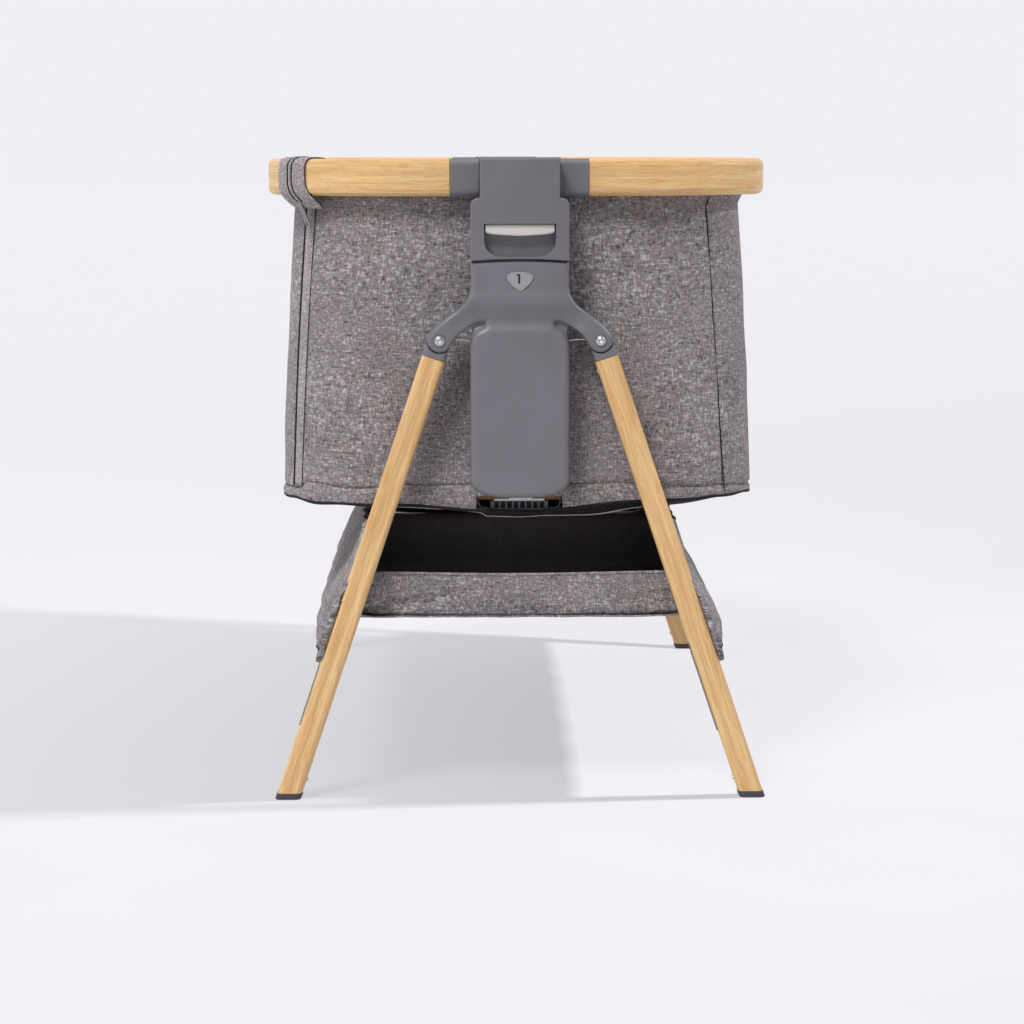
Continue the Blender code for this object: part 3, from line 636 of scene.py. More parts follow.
def wall_levels(low):
    """Heights up a wall, close together at the seam and at the hem."""
    levels = [low + x for x in (0.0, 0.0008, 0.0018, 0.003, 0.0045, 0.007, 0.011)]
    start = levels[-1]
    top = RAIL_BOTTOM - 0.014
    levels += [start + (top - start) * (i + 1) / 30 for i in range(30)]
    levels += [top + (WALL_TOP - top) * (i + 1) / 12 for i in range(12)]
    return levels


def wall_pair(level, t, ends):
    z = wall_levels(band_top(t))[level]
    return wall_surface(t, z, ends), wall_point(t, z, -WALL_THICK)


RING_CLOTHS = (CLOTH_RING, LINING_RING, CLOTH_RING)


def make_walls():
    levels = range(len(wall_levels(0)))
    for side, ends in PANELS.items():
        first, last = ends
        beside = (0.006, 0.014, 0.026)
        values = sorted({*steps(first, last), *(first + x for x in beside), *(last - x for x in beside)})
        wall, outer = shell(f"wall_{side}", levels, values, lambda i, t: wall_pair(i, t, ends), RING_CLOTHS)
        attach(wall, "ring", "melange_fabric", SOFT_ON_RING)
        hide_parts(f"bassinet_{side}_wall")
        width = length_of(outer[20])


def band_pair(rise, t, lift):
    """A point of the base band and the one behind it, rise of the way up from its lower edge."""
    low = WALL_LOW + lift if lift else band_low(t)
    high = band_top(t) - 0.0002
    z = low + (high - low) * rise
    spot, out = wall_frame(t, z)
    rolled = SEAM_ROLL * (0.5 * bell(z - low, 0.0022) + bell(high - z, 0.0022))
    pucker = 0.0005 * ripple(Vector((t * 3.0, 0, 0)), 0.06, 4.0)
    pucker += 0.0003 * ripple(Vector((t * 3.0, 0, z * 4)), 0.02, 6.0)
    return spot + out * (0.0008 + pucker - rolled), wall_point(t, z, -WALL_THICK)


def make_band_strip(name, values, lift=0.0):
    rises = (0.0, 0.05, 0.12, 0.25, 0.45, 0.65, 0.82, 0.92, 0.97, 1.0)
    name = f"base_band_{name}"
    strip, outer = shell(name, rises, values, lambda rise, t: band_pair(rise, t, lift), RING_CLOTHS)
    attach(strip, "ring", "melange_fabric", SOFT_ON_RING)
    return strip, length_of(outer[4])


def make_band():
    """The band round the base: one strip for each end and side, with a notch for the guides."""
    notch = NOTCH_HALF / (wall_size(WALL_LOW).x - wall_size(WALL_LOW).z) / 2
    spans = {
        "near_left": (-0.60, 0.5 - notch),
        "near_right": (0.5 + notch, 1.5),
        "right": (1.5, 3.5),
        "far_right": (3.5, 4.5 - notch),
        "far_left": (4.5 + notch, 5.5),
        "left": (5.5, 7.40),
    }
    middles = {"near_left": 0.5, "far_left": 4.5}
    for name, (first, last) in spans.items():
        values = steps(first, last, 16, 28)
        strip, width = make_band_strip(name, values)
        tall = HEM_TURN + sum(band_top(t) - band_low(t) for t in values) / len(values)
        bridge = []
        if name in middles:
            over = steps(middles[name] - notch, middles[name] + notch, 16, 40)
            bridge = [make_band_strip(name + "_bridge", over, 0.0197)[0]]


def ring_trim(name, points, radius, closed=False, sides=10):
    attach(tube(name, points, radius, BLACK_CLOTH, closed, sides), "ring", "dark_fabric", SOFT_ON_RING)


def make_trims():
    """Piping at the base, the binding at the top hem, and the seams up the corners."""
    ring = steps(0.0, 8.0, 24, 30)[:-1]
    piping = [wall_point(t, band_low(t) - 0.0010 + 0.0006 * math.sin(t * 19), -0.0020) for t in ring]
    ring_trim("base_piping", piping, 0.0021, closed=True)
    ring_trim("hem_binding", [wall_point(t, WALL_TOP - 0.0008, -0.0020) for t in ring], 0.0024, closed=True)
    heights = [WALL_LOW + 0.02 + i * 0.008 for i in range(41)]
    for name, t in (("right", 1.5), ("far_right", 3.5), ("far_left", 5.5)):
        points = [wall_point(t, z, 0.0004) for z in heights if z < RAIL_BOTTOM]
        ring_trim(f"corner_seam_{name}", points, 0.0006, sides=6)


def zip_bulge(z):
    return 0.0022 * math.sin(math.pi * clamp((z - 0.33) / 0.32))


def tape_pair(z, i):
    spot, out = wall_frame(ZIP_START + (ZIP_END - ZIP_START) * i / 8, z)
    crown = 0.0016 * math.sin(math.pi * i / 8) + zip_bulge(z)
    return spot + out * (crown - 0.0012), spot - out * 0.0030


def make_zip():
    """The zip of the drop side, up the near left corner: its tape, its coil and a row of stitches."""
    low = WALL_LOW + 0.024
    heights = [low + (RAIL_BOTTOM - 0.004 - low) * i / 50 for i in range(51)]
    tape, _ = shell("zip_tape", heights, range(9), tape_pair, (CLOTH_SMOOTH,))
    attach(tape, "ring", "melange_fabric", SOFT_ON_RING)
    for name, t, radius in (("zip_coil", ZIP_START, 0.0012), ("zip_stitch", ZIP_END, 0.0004)):
        ring_trim(name, [wall_point(t, z, zip_bulge(z) - 0.0006) for z in heights], radius, sides=6)


def at_notch(x):
    """1 over the notch for a floor guide and 0 beside it."""
    return 1 - smooth_step(abs(x), *NOTCH_EDGE)


def skirt_pair(rise, x, out):
    low = on_stops(-x * out, SKIRT_STOPS)
    high = WALL_LOW + 0.013 - 0.0117 * at_notch(x)
    y = out * (0.4130 - 0.0012 * (1 - rise) + 0.0004 * math.sin(x * 130))
    spot = Vector((x, y, low + (high - low) * rise))
    return spot, spot - Vector((0, out * 0.0016, 0))


def make_skirts():
    """The dark underside cloth that hangs a little below each end, with a stitched edge."""
    across = [-SKIRT_WIDTH / 2 + SKIRT_WIDTH * i / 60 for i in range(61)]
    rises = (0.0, 0.1, 0.3, 0.6, 1.0)
    for end, out in ENDS.items():
        name = f"underside_{end}"
        skirt, outer = shell(name, rises, across, lambda rise, x: skirt_pair(rise, x, out), (BLACK_CLOTH,))
        edge = [p + Vector((0, out * 0.0004, 0.0004)) for p in outer[0]]
        stitch = tube(f"{name}_stitch", edge, 0.0006, THREAD, sides=6)
        attach(skirt, "ring", "dark_fabric", SOFT_ON_RING)
        attach(stitch, "ring", "melange_fabric", SOFT_ON_RING)


# The base's rings, from its rim down: inset from the walls' face, and millimetres above the band's edge
TRAY_RINGS = ((0.0045, 4.5), (0.0028, -1.8), (0.0052, -3.6), (0.0500, None))
NOTCH_DEPTH = 0.028
TRAY_CORNER_INSET = 0.0060  # keeps the corners inside the rail when the floor is lifted


def make_tray():
    """The base: cloth drawn over the floor board, higher at its rim than in the middle."""
    bm = bmesh.new()
    rings = []
    for inset, rise in TRAY_RINGS:
        ring = []
        for t in steps(0.0, 8.0, 18, 96)[:-1]:
            z = FLOOR_TOP - 0.0086 if rise is None else band_low(t) + 0.001 * rise
            depth = inset
            if int(t) in (0, 4):
                depth += NOTCH_DEPTH * at_notch(wall_point(t, z).x)
            elif int(t) % 2:
                depth += TRAY_CORNER_INSET * math.sin(math.pi * (t % 1.0))
            ring.append(bm.verts.new(wall_point(t, z, -depth)))
        rings.append(ring)
    rings.insert(0, [bm.verts.new((v.co.x * 0.93, v.co.y * 0.955, FLOOR_TOP)) for v in rings[0]])
    loft(bm, rings)
    tray = attach(to_object(bm, "base_tray", BLACK_CLOTH), "floor", "dark_fabric")
    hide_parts("bassinet_floor_cloth", "floor_board")


def farthest(name):
    """How far along the crib a node reaches from its middle."""
    low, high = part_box(name)
    return max(abs(low.y), abs(high.y))


# Outlines from the top of a floor guide: the white strip on it, the board's edge, and the bracket's bend
STRIP = ((-0.0275, 0), (0.0275, 0), (0.0275, 0.0022), (0.0150, 0.0022))
STRIP += ((0.0145, 0.0032), (-0.0110, 0.0032), (-0.0115, 0.0022), (-0.0275, 0.0022))
BOARD_EDGE = ((-0.0462, 0.0012), (0.0462, 0.0012), (0.0462, 0.0062), (-0.0462, 0.0062))
BRACKET = ((0.0330, -0.0085), (0.0385, -0.0085), (0.0425, -0.0070), (0.0448, -0.0030), (0.0452, 0.0016))


def make_guide_trims():
    """The white strip on top of each floor guide and the edge of the floor board beside it."""
    for end, out in ENDS.items():
        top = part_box(f"{end}_floor_guide")[1].z
        reach = farthest(f"{end}_floor_guide")
        strip = [(x, top + z) for x, z in STRIP]
        board = [(x, top + z) for x, z in BOARD_EDGE]
        strip = slab(f"{end}_guide_strip", strip, reach - 0.010, reach - 0.0004, out, WHITE_TAPE)
        board = slab(f"{end}_board_edge", board, reach - 0.012, reach - 0.0030, out, BOARD)
        attach(strip, "floor", "light_plastic")
        attach(board, "floor", "board")
        for side, label in SIDES:
            bend = [(side * x, out * reach, top + z) for x, z in BRACKET]
            bracket = tube(f"{end}_guide_bracket_{label}", bend, 0.0011, PLASTIC, sides=8)
            attach(bracket, "floor", "grey_plastic")


# The profile of the zip's band over the rail: distance in from the rail's outer face, height from the rail's
# top, and the angles round the corner where the band starts and ends, in degrees from the side
BAND_PROFILE = (
    (0.0235, -0.0060, 27.0, 45.0),
    (0.0225, 0.0004, 27.0, 45.0),
    (0.0170, 0.0012, 26.5, 44.5),
    (0.0060, 0.0012, 26.0, 44.0),
    (0.0015, -0.0010, 25.8, 43.6),
    (-0.0010, -0.0055, 25.5, 43.2),
    (-0.0013, -0.0130, 25.2, 43.0),
    (-0.0013, -0.0220, 25.0, 43.0),
    (-0.0010, -0.0300, 25.0, 43.4),
    (0.0002, -0.0365, 25.4, 44.4),
    (0.0032, -0.0430, 26.4, 46.2),
    (0.0080, -0.0490, 28.0, 47.8),
    (0.0125, -0.0540, 30.0, 48.0),
)


def band_spot(level, share, lift):
    """A point on the zip's band: level 0 is the rail's inner face and 12 is below it, share goes across."""
    low = int(min(level, len(BAND_PROFILE) - 2))
    part = level - low
    a, b = BAND_PROFILE[low], BAND_PROFILE[low + 1]
    inset, height, first, last = (p + (q - p) * part for p, q in zip(a, b))
    angle = math.radians(first + (last - first) * share)
    out = Vector((-math.cos(angle), -math.sin(angle), 0))
    centre = Vector((RAIL_CORNER - HALF_WIDTH, RAIL_CORNER - HALF_LENGTH, RAIL_TOP))
    up = 1 - smooth_step(abs(level - 3), 1.0, 2.4)
    return centre + out * (RAIL_CORNER - inset + lift * (1 - up)) + Vector((0, 0, height + lift * up))


def zip_band_pair(level, i):
    share = i / 14
    edges = bell(share - 0.05, 0.04) + bell(share - 0.95, 0.04)
    puff = 0.0005 * math.sin(math.pi * share) + 0.0007 * edges - 0.0006 * bell(share - 0.46, 0.1)
    return band_spot(level, share, puff), band_spot(level, share, -0.0011)


def make_zip_band():
    """The band of the drop side that goes over the rail, with the end of the zip."""
    levels = [i / 3 for i in range(3 * (len(BAND_PROFILE) - 1) + 1)]
    band, outer = shell("zip_band", levels, range(15), zip_band_pair, (CLOTH_SMOOTH,))
    attach(band, "ring", "melange_fabric")
    for name, share, radius, lift, material in (
        ("zip_band_coil", 0.500, 0.0011, 0.0005, THREAD),
        ("zip_band_left", 0.425, 0.0008, 0.0005, BLACK_CLOTH),
        ("zip_band_right", 0.575, 0.0008, 0.0005, BLACK_CLOTH),
        ("zip_band_edge", 1.0, 0.0006, -0.0002, BLACK_CLOTH),
    ):
        points = [band_spot(level, share, lift) for level in levels if share == 1.0 or level < 10.7]
        attach(tube(name, points, radius, material, sides=6), "ring", "dark_fabric")
    length = length_of([row[7] for row in outer])


make_walls()
make_band()
make_trims()
make_zip()
make_skirts()
make_tray()
make_guide_trims()
make_zip_band()

# The moulded fronts of the columns

FRONT_DEPTH = 0.4500  # only what stands out farther than this is shaped
# Blocks that fill the corner between the yoke and the cover: half width, bottom, top, and depth of the face
FILLERS = ((0.036, 0.509, 0.5235, 0.4612), (0.0515, 0.503, 0.5280, 0.4535))


def front_shift(co):
    """How far a point of the front moves out, for a bulge below the seam and a hollow above the cover."""
    below_seam = smooth_step(0.5560 - co.z, 0.0, 0.013)
    on_cover = smooth_step(0.5190 - co.z, 0.0, 0.013)
    hollow = 0.0066 * smooth_step(0.5425 - co.z, 0.0, 0.022) * (1 - on_cover)
    arms = 1 - smooth_step(abs(co.x), 0.058, 0.078)
    return arms * (0.0020 * below_seam - hollow - 0.0020 * on_cover)


def soft_front(end, out):
    """The yoke and the column's cover, blended into each other as one soft-edged front."""
    bm = bmesh.new()
    nodes = (f"{end}_yoke", f"{end}_column_cover")
    for name in nodes:
        bm.from_mesh(NODES[name].data)
    for half, low, high, depth in FILLERS:
        middle = Vector((0, out * (depth + 0.4420) / 2, (low + high) / 2))
        size = Vector((half * 2, depth - 0.4420, high - low))
        bmesh.ops.create_cube(bm, size=1.0, matrix=Matrix.LocRotScale(middle, None, size))
    front = to_object(bm, f"{end}_column_front", COVER_PLASTIC)
    modify(front, "REMESH", mode="VOXEL", voxel_size=0.0010)
    apply_modifiers(front)
    blend = front.vertex_groups.new(name="blend")
    for vertex in front.data.vertices:
        co = vertex.co
        reach = smooth_step(out * co.y, FRONT_DEPTH, 0.4575)
        if reach > 0:
            co.y += out * reach * front_shift(co)
        share = smooth_step(co.z, 0.500, 0.508) * (1 - smooth_step(co.z, 0.524, 0.530))
        share *= 1 - smooth_step(abs(co.x), 0.044, 0.056)
        if share > 0 and out * co.y > FRONT_DEPTH:
            blend.add([vertex.index], share, "REPLACE")
    modify(front, "SMOOTH", factor=0.5, iterations=14)
    modify(front, "SMOOTH", factor=0.5, iterations=70, vertex_group="blend")
    apply_modifiers(front)
    smooth_faces(front)
    attach(front, f"{end}_column", "grey_plastic")
    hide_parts(*nodes)


NUMERAL = ((-0.0010, -0.0018), (0.0001, -0.0018), (0.0001, -0.0119), (-0.0020, -0.0119), (-0.0020, -0.0042))
NUMERAL += ((-0.0036, -0.0030), (-0.0036, -0.0018))
BADGE = ((0.0, 0.0), (0.0085, -0.0008), (0.0135, -0.0040), (0.0120, -0.0088), (0.0070, -0.0145))
BADGE += ((0.0, -0.0190),)


def rounded_loop(corners):
    """A smooth closed curve through corners, with four points from each to the next."""
    count = len(corners)
    loop = []
    for i in range(count):
        a, b, c, d = (Vector(corners[(i + k) % count]) for k in (-1, 0, 1, 2))
        for t in (0.0, 0.25, 0.5, 0.75):
            bend = (2 * a - 5 * b + 4 * c - d) * t**2 + (3 * b - a - 3 * c + d) * t**3
            loop.append(0.5 * (2 * b + (c - a) * t + bend))
    return loop


def make_badge_trims(end, out):
    """The raised rim of the level badge and its numeral."""
    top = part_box(f"{end}_level_badge")[1].z
    depth = farthest(f"{end}_level_badge")
    figure = [(x, top + z) for x, z in NUMERAL]
    numeral = slab(f"{end}_numeral", figure, depth - 0.0003, depth + 0.0003, out, BLACK_INK)
    attach(numeral, f"{end}_column", "dark_fabric")
    loop = rounded_loop(BADGE + tuple((-x, z) for x, z in BADGE[-2:0:-1]))
    loop = [(spot.x, out * (depth - 0.0004), top + spot.y) for spot in loop]
    rim = tube(f"{end}_badge_rim", loop, 0.0007, BADGE_PLASTIC, closed=True, sides=8, lift=(0, out, 0))
    attach(rim, f"{end}_column", "light_plastic")


def make_brace(end, out):
    """The steel wire behind the arms."""
    bow = [(0.050 + 0.028 * i / 8, 0.4978 + 0.0016 * math.sin(i / 8 * 2.6)) for i in range(9)]
    for side, label in SIDES:
        points = [(side * x, out * 0.4378, z) for x, z in bow]
        attach(tube(f"{end}_brace_{label}", points, 0.0009, STEEL, sides=8), f"{end}_column", "steel")


CAP_RADIUS = 0.0052


def make_rivet_caps(end, out):
    """The head of each rivet, in a dark ring."""
    for label in ("left", "right"):
        body = f"{end}_{label}_leg"
        low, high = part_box(f"{body}_rivet")
        spot = (low + high) / 2
        spot.y = out * (farthest(f"{body}_rivet") - 0.0004)
        screws(f"{body}_rivet_cap", body, [(spot, Vector((0, out, 0)))], 0.0044, 0.0022)
        seat = spot - Vector((0, out * 0.0008, 0))
        turns = [k * math.pi / 12 for k in range(24)]
        ring = [seat + Vector((math.cos(a), 0, math.sin(a))) * CAP_RADIUS for a in turns]
        dark = tube(f"{body}_rivet_ring", ring, 0.0008, DARK_PLASTIC, closed=True, sides=6, lift=(0, out, 0))
        attach(dark, body, "grey_plastic")


for end, out in ENDS.items():
    soft_front(end, out)
    make_badge_trims(end, out)
    make_brace(end, out)
    make_rivet_caps(end, out)

# Mattress

PAD_RINGS = ((0.0, 0.020), (0.0, 0.004), (0.22, 0.0), (0.78, 0.0), (1.0, 0.004), (1.0, 0.020))
QUILT_PITCH = 0.075


def make_mattress():
    """The pad, quilted in diamonds on top."""
    low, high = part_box("mattress")
    centre = (low + high) / 2
    size = high - low
    bm = bmesh.new()
    rings = []
    for share, inset in PAD_RINGS:
        outline = Vector((size.x / 2 - inset, size.y / 2 - inset, 0.135 - inset))
        middle = Vector((centre.x, centre.y, low.z + size.z * share))
        rings.append([bm.verts.new(on_ring(t, outline)[0] + middle) for t in steps(0.0, 8.0, 10, 14)[:-1]])
    loft(bm, rings)
    pad = to_object(bm, "mattress_pad", TICKING)
    modify(pad, "REMESH", mode="VOXEL", voxel_size=0.006)
    apply_modifiers(pad)
    smooth_faces(pad)
    for vertex in pad.data.vertices:
        co = vertex.co
        edge = min(size.x / 2 - abs(co.x), size.y / 2 - abs(co.y))
        if co.z > centre.z and edge > 0.012:
            lines = [math.sin((co.x + side * co.y) * math.pi / QUILT_PITCH) for side in (1, -1)]
            dip = min(0.0035 * sum(bell(line, 0.16) for line in lines), 0.0042)
            co.z -= dip * smooth_step(edge, 0.012, 0.03)
    attach(pad, "floor", "ticking")
    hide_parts("mattress")


make_mattress()

# Storage basket

BASKET_LOW, BASKET_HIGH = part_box("basket_floor")
PANEL_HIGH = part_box("basket_near_panel")[1].z
SIDE_LOW = 0.1660
SIDE_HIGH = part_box("basket_left_side")[1].z - 0.002
END_LOW = 0.1965
PANEL_Y = 0.4330
SIDE_LENGTH = 0.917
LEG_OUTER = LEG_HALF + 0.0012


def leg_x(z):
    """How far a leg's middle line is from the middle at a height."""
    return abs(FOOT.x) - (abs(FOOT.x) - abs(PIVOT.x)) * (z - FOOT.z) / (PIVOT.z - FOOT.z)


def basket_side_spot(side, y, z):
    """A point on the outside of a basket side, which passes outside the legs and bellies between them."""
    inside = 1 - smooth_step(abs(y), 0.425, 0.458)
    lean = 0.0110 + 0.0030 * math.sin(math.pi * clamp((z - 0.165) / 0.10))
    lean += 0.0035 * smooth_step(0.200 - z, 0.0, 0.025) - 0.0110 * smooth_step(z, 0.195, 0.250)
    bow = 0.0045 * (1 - (y / 0.44) ** 4)
    tuck = 0.0060 * smooth_step(0.185 - z, 0.0, 0.022) * inside
    hang = 0.0016 * math.sin(y * 95 + side) * smooth_step(z, 0.20, 0.30)
    hang += 0.0012 * math.sin(y * 47 - 1.0 + side)
    crease = 0.0011 * ripple(Vector((y * 2.4, z * 0.4, side)), 0.05, 2.0)
    ends = 0.0035 * smooth_step(abs(y), 0.435, 0.458)
    reach = leg_x(z) + LEG_OUTER + lean * (0.72 + 0.28 * inside) + bow - tuck - ends + hang * inside
    return Vector((side * (reach + crease), y, z))


def basket_sheet(label, node_name, rows, columns, pair, cloths, behind, hems):
    """A side or end of the basket with its top and low hems, each a radius, a material and a slot."""
    sheet, outer = shell(f"basket_{label}_cloth", rows, columns, pair, cloths)
    attach(sheet, "near_column", "melange_fabric", SOFT_BASKET)
    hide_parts(node_name)
    pieces = []
    for edge, row, (radius, material, slot) in zip(("top", "low"), (outer[-1], outer[0]), hems):
        hem = tube(f"basket_{label}_{edge}_hem", [p - behind for p in row], radius, material, sides=8)
        pieces.append(attach(hem, "near_column", slot, SOFT_BASKET))
    return sheet, pieces


def side_pair(z, y, side):
    droop = 0.004 * (1 - (y / 0.46) ** 2) * smooth_step(z, 0.24, SIDE_HIGH)
    spot = basket_side_spot(side, y, z - droop)
    return spot, spot - Vector((side * 0.0020, 0, 0))


def make_basket_side(side, label):
    rows = [SIDE_LOW + (SIDE_HIGH - SIDE_LOW) * i / 26 for i in range(27)]
    columns = [-SIDE_LENGTH / 2 + SIDE_LENGTH * i / 96 for i in range(97)]
    hems = ((0.0024, CLOTH_SIDE, "melange_fabric"), (0.0017, BLACK_CLOTH, "dark_fabric"))
    sheet, pieces = basket_sheet(
        label,
        f"basket_{label}_side",
        rows,
        columns,
        lambda z, y: side_pair(z, y, side),
        (CLOTH_SIDE, INNER_SIDE, CLOTH_SIDE),
        Vector((side * 0.001, 0, 0)),
        hems,
    )
    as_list(pieces)


def end_pair(share, across, out):
    """A point of an end panel and the one behind it, with soft folds and one crease across its left part."""
    low = END_LOW + 0.0045 * across**2
    high = PANEL_HIGH - 0.0008 - 0.0016 * math.cos(across * 2.4)
    z = low + (high - low) * share
    x = across * (leg_x(z) - 0.004)
    belly = 0.0024 * math.sin(math.pi * min(1.0, share * 1.05)) * (1 - across**4)
    fold = 0.0014 * ripple(Vector((x, z * 1.4 + x * 0.3, 0)), 0.055, 6.0) * (0.3 + 0.7 * (1 - share))
    crease = 0.0042 * bell(z - (0.2035 + 0.19 * (0.165 - x * out)), 0.0055)
    crease *= 1 - smooth_step(-x * out, -0.11, -0.03)
    spot = Vector((x, out * (PANEL_Y - 0.0022 + belly + fold - crease + 0.0050 * (share - 0.5)), z))
    return spot, spot - Vector((0, out * 0.0022, 0))


def make_basket_end(out, label):
    hems = ((0.0019, CLOTH_END, "melange_fabric"), (0.0009, CLOTH_END, "melange_fabric"))
    sheet, pieces = basket_sheet(
        label,
        f"basket_{label}_panel",
        [i / 16 for i in range(17)],
        [j / 24 - 1 for j in range(49)],
        lambda share, across: end_pair(share, across, out),
        (CLOTH_END, INNER_END, CLOTH_END),
        Vector((0, out * 0.0011, 0)),
        hems,
    )
    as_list(pieces)


def under_pair(y, share):
    """A point of the underside, level below the board and rising to the end panels and the sides."""
    z = BASKET_LOW.z - 0.0022 + 0.040 * smooth_step(abs(y), 0.165, 0.46)
    narrow = smooth_step(abs(y), 0.405, PANEL_Y)
    half = (basket_side_spot(1, y, z + 0.008).x - 0.0015) * (1 - narrow) + (leg_x(z) - 0.002) * narrow
    lift = 0.010 * smooth_step(abs(share), 0.90, 1.0)
    wave = 0.0008 * ripple(Vector((share * 0.4, y, 0)), 0.06, 3.0)
    spot = Vector((share * half, y, z + lift + wave - 0.001))
    return spot, spot + Vector((0, 0, 0.0018))


def make_basket_under():
    rows = [-PANEL_Y + 2 * PANEL_Y * i / 60 for i in range(61)]
    columns = [i / 15 - 1 for i in range(31)]
    sheet, _ = shell("basket_under_cloth", rows, columns, under_pair, (CLOTH_END, INNER_FLAT, CLOTH_END))
    attach(sheet, "near_column", "melange_fabric", SOFT_BASKET)


def make_basket_board():
    """The stiff floor of the basket, covered in dark cloth."""
    half = Vector((leg_x(BASKET_HIGH.z) - 0.004, -BASKET_LOW.y - 0.002, 0.012))
    bm = bmesh.new()
    rings = []
    for inset, z in ((0.004, 0.0), (0.0008, 0.0008), (0.0, 0.002), (0.0008, 0.0036), (0.004, 0.0044)):
        size = half - Vector((inset, inset, inset * 0.5))
        rise = Vector((0, 0, BASKET_LOW.z + z))
        rings.append([bm.verts.new(on_ring(t, size)[0] + rise) for t in steps(0, 8, 5, 10)[:-1]])
    loft(bm, rings)
    board = to_object(bm, "basket_board", INNER_FLAT, outward=False)
    modify(board, "BEVEL", width=0.0006, segments=2, limit_method="ANGLE")
    apply_modifiers(board)
    attach(board, "near_column", "dark_fabric", SOFT_BASKET)
    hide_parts("basket_floor")


for side, label in SIDES:
    make_basket_side(side, label)
for end, out in ENDS.items():
    make_basket_end(out, end)
make_basket_under()
make_basket_board()

# Straps, guard strips and screws on the legs

LEG_FACE = 0.01275  # from a leg's middle line to its outer face
SCREW_SEAT = 0.0127
STRAP_SPAN = (0.1455, 0.2160)
GUARD_SPANS = {1: (0.078, 0.1440), -1: (0.078, 0.1740)}  # on the outer and on the inner face


def leg_frame(side, z, out):
    """The point on a leg's middle line at a height, and its outward direction."""
    angle = math.atan((abs(FOOT.x) - abs(PIVOT.x)) / (PIVOT.z - FOOT.z))
    spot = Vector((side * leg_x(z), out * abs(FOOT.y), z))
    return spot, Vector((side * math.cos(angle), 0, math.sin(angle)))


def strip_on_leg(name, leg, span, face, half_wide, thick, material, soft):
    """A flat strip on one face of a leg, over a span of heights. face is 1 for the outer face, -1 for the
    inner one."""
    side, out = leg
    low, high = span

    def pair(i, j):
        z = low + (high - low) * i / 24
        spot, away = leg_frame(side, z, out)
        share = math.sqrt(max(0.02, 1 - (1 - min(1.0, (z - low) / 0.009)) ** 2)) if soft else 1.0
        puff = soft * 0.0022 * clamp(math.sin(math.pi * i / 24)) ** 0.5
        across = j / 4 - 1
        spot += Vector((0, across * half_wide * share, 0)) + away * face * (LEG_FACE + 0.0004)
        return spot + away * face * (thick * (1 - 0.35 * abs(across) ** 3) + puff), spot

    return shell(name, range(25), range(9), pair, (material,))[0]


def make_leg_trims():
    for end, out in ENDS.items():
        for side, _ in SIDES:
            body = f"{end}_{'left' if side * out > 0 else 'right'}_leg"
            leg = (side, out)
            strap = strip_on_leg(f"{body}_strap", leg, STRAP_SPAN, 1, 0.0095, 0.0052, CLOTH_SIDE, True)
            attach(strap, body, "melange_fabric")
            face = side * out
            span = GUARD_SPANS[face]
            guard = strip_on_leg(f"{body}_guard", leg, span, face, 0.0062, 0.0009, DARK_TAPE, False)
            attach(guard, body, "dark_fabric")
            frames = [leg_frame(side, z, out) for z in (0.0085, 0.0245, 0.470)]
            places = [(spot - away * SCREW_SEAT, -away) for spot, away in frames]
            screws(f"{body}_screws", body, places, 0.0026, 0.0016)


make_leg_trims()

# Stage, lights and camera

KEY_PLACE = Vector((1.84, -0.284, 1.81))
KEY_POWER = 17.0
FLOOR_KEY_POWER = 235.0
KEY_ON_FLOOR = 0.1 * FLOOR_KEY_POWER * KEY_PLACE.z / math.pi**2 * 0.97
FLOOR_GLOW = 0.771  # the glow and the lights add up to one even tone where nothing casts a shadow
FLOOR_FAR_GLOW = FLOOR_GLOW - 0.027
FLOOR_REACH = 60.0
BACKDROP = (0.868, 0.862, 0.893, 1.0)
FILL_POWER = 2.45
FILL_DIRECTION = Vector((0.85, 1.45, -2.2))


def make_stage():
    """A plain pale floor that glows a little, less where the key light falls."""
    bm = bmesh.new()
    for x, y in ((-1, -1), (1, -1), (1, 1), (-1, 1)):
        bm.verts.new((x * FLOOR_REACH, y * FLOOR_REACH, -0.0005))
    bm.faces.new(bm.verts)
    material, tree, shader = new_material("studio_floor")
    x, y, z = place(tree)
    cloud = speckle(tree, x, y, z, (3, 3, 3), 2.0)
    colour = ramp(tree, cloud, (0.3, (0.098, 0.097, 0.100)), (0.7, (0.102, 0.101, 0.104)))
    finish_shader(tree, shader, colour, 0.8)
    away_x = calc(tree, "POWER", calc(tree, "ABSOLUTE", calc(tree, "SUBTRACT", x, KEY_PLACE.x)), 2.0)
    away_y = calc(tree, "POWER", calc(tree, "ABSOLUTE", calc(tree, "SUBTRACT", y, KEY_PLACE.y)), 2.0)
    reach = calc(tree, "ADD", calc(tree, "ADD", away_x, away_y), KEY_PLACE.z**2)
    lit = calc(tree, "DIVIDE", KEY_ON_FLOOR, calc(tree, "POWER", reach, 1.5))
    inputs = {0: y, 1: 0.0, 2: 3.0, 3: FLOOR_GLOW, 4: FLOOR_FAR_GLOW}
    even = node(tree, "ShaderNodeMapRange", inputs).outputs[0]
    glow = calc(tree, "MAXIMUM", calc(tree, "SUBTRACT", even, lit), 0.0)
    shader.inputs["Specular IOR Level"].default_value = 0.0
    shader.inputs["Emission Color"].default_value = (1.0, 0.99, 1.035, 1.0)
    tree.links.new(glow, shader.inputs["Emission Strength"])
    floor = to_object(bm, "studio_floor", material, smooth=False, outward=False)


def add_light(name, kind, direction, power, **settings):
    data = bpy.data.lights.new(name, kind)
    data.energy = power
    for key, value in settings.items():
        setattr(data, key, value)
    lamp = bpy.data.objects.new(name, data)
    bpy.context.scene.collection.objects.link(lamp)
    lamp.rotation_mode = "QUATERNION"
    lamp.rotation_quaternion = direction.to_track_quat("-Z", "Y")
    return lamp


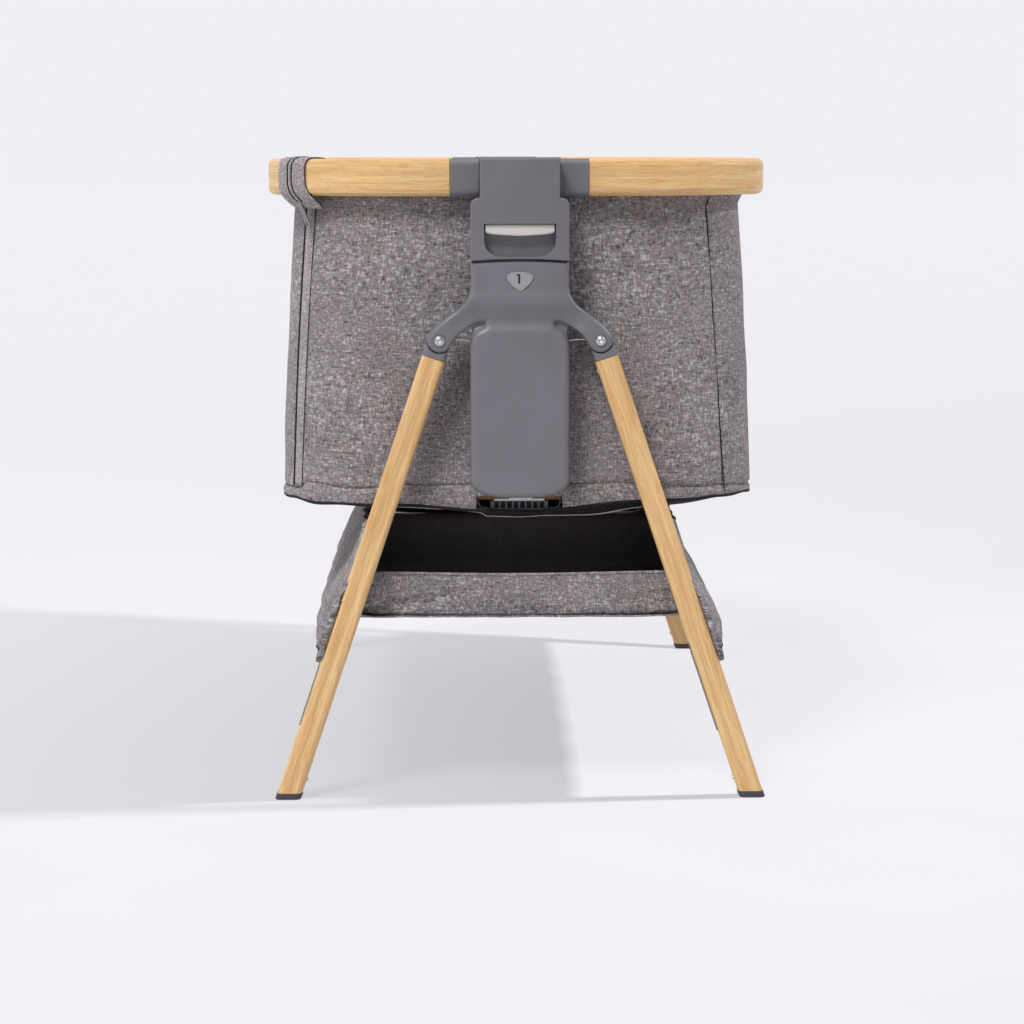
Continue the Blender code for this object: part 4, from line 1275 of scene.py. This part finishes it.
def make_world():
    """A plain backdrop to the camera; as light, it is brighter behind the crib than in front."""
    world = bpy.data.worlds.new("studio")
    world.use_nodes = True
    bpy.context.scene.world = world
    tree = world.node_tree
    plain = tree.nodes["Background"]
    plain.inputs[0].default_value = BACKDROP
    spot = node(tree, "ShaderNodeTexCoord").outputs["Generated"]
    across, ahead, _ = node(tree, "ShaderNodeSeparateXYZ", {0: spot}).outputs[:3]
    level = calc(tree, "MULTIPLY_ADD", ahead, 0.36, calc(tree, "MULTIPLY_ADD", across, -0.28, 0.5))
    shade = ramp(tree, level, (0.2, (0.34, 0.34, 0.355)), (0.8, (0.95, 0.94, 0.98)))
    glow = node(tree, "ShaderNodeBackground", {0: shade, 1: 1.0})
    seen = node(tree, "ShaderNodeLightPath").outputs["Is Camera Ray"]
    both = node(tree, "ShaderNodeMixShader", {0: seen, 1: glow.outputs[0], 2: plain.outputs[0]})
    tree.links.new(both.outputs[0], tree.nodes["World Output"].inputs[0])


def make_lights():
    """A key light on the crib, a stronger one in its place on the floor alone, and a soft fill."""
    lit = bpy.data.collections.new("lit_floor")
    lit.objects.link(bpy.data.objects["studio_floor"])
    down = Vector((0, -0.05, 0.25)) - KEY_PLACE
    for name, power, receivers in (("key", KEY_POWER, None), ("floor_key", FLOOR_KEY_POWER, lit)):
        lamp = add_light(name, "AREA", down, power, shape="RECTANGLE", size=0.16, size_y=0.16)
        lamp.location = KEY_PLACE
        lamp.light_linking.receiver_collection = receivers
    add_light("fill", "SUN", FILL_DIRECTION, FILL_POWER, angle=math.radians(17))


def make_camera():
    data = bpy.data.cameras.new("camera")
    data.lens = 95.98
    data.sensor_width = 36
    data.clip_end = 200
    camera = bpy.data.objects.new("camera", data)
    bpy.context.scene.collection.objects.link(camera)
    camera.location = (-0.062, -3.370, 0.699)
    camera.rotation_euler = [math.radians(a) for a in (82.487, 0.082, -1.056)]
    bpy.context.scene.camera = camera


make_stage()
make_world()
make_lights()
make_camera()
bpy.context.scene.view_settings.view_transform = "Standard"

for piece in SOFT_ON_RING:
    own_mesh(piece)

for piece in SOFT_BASKET:
    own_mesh(piece)
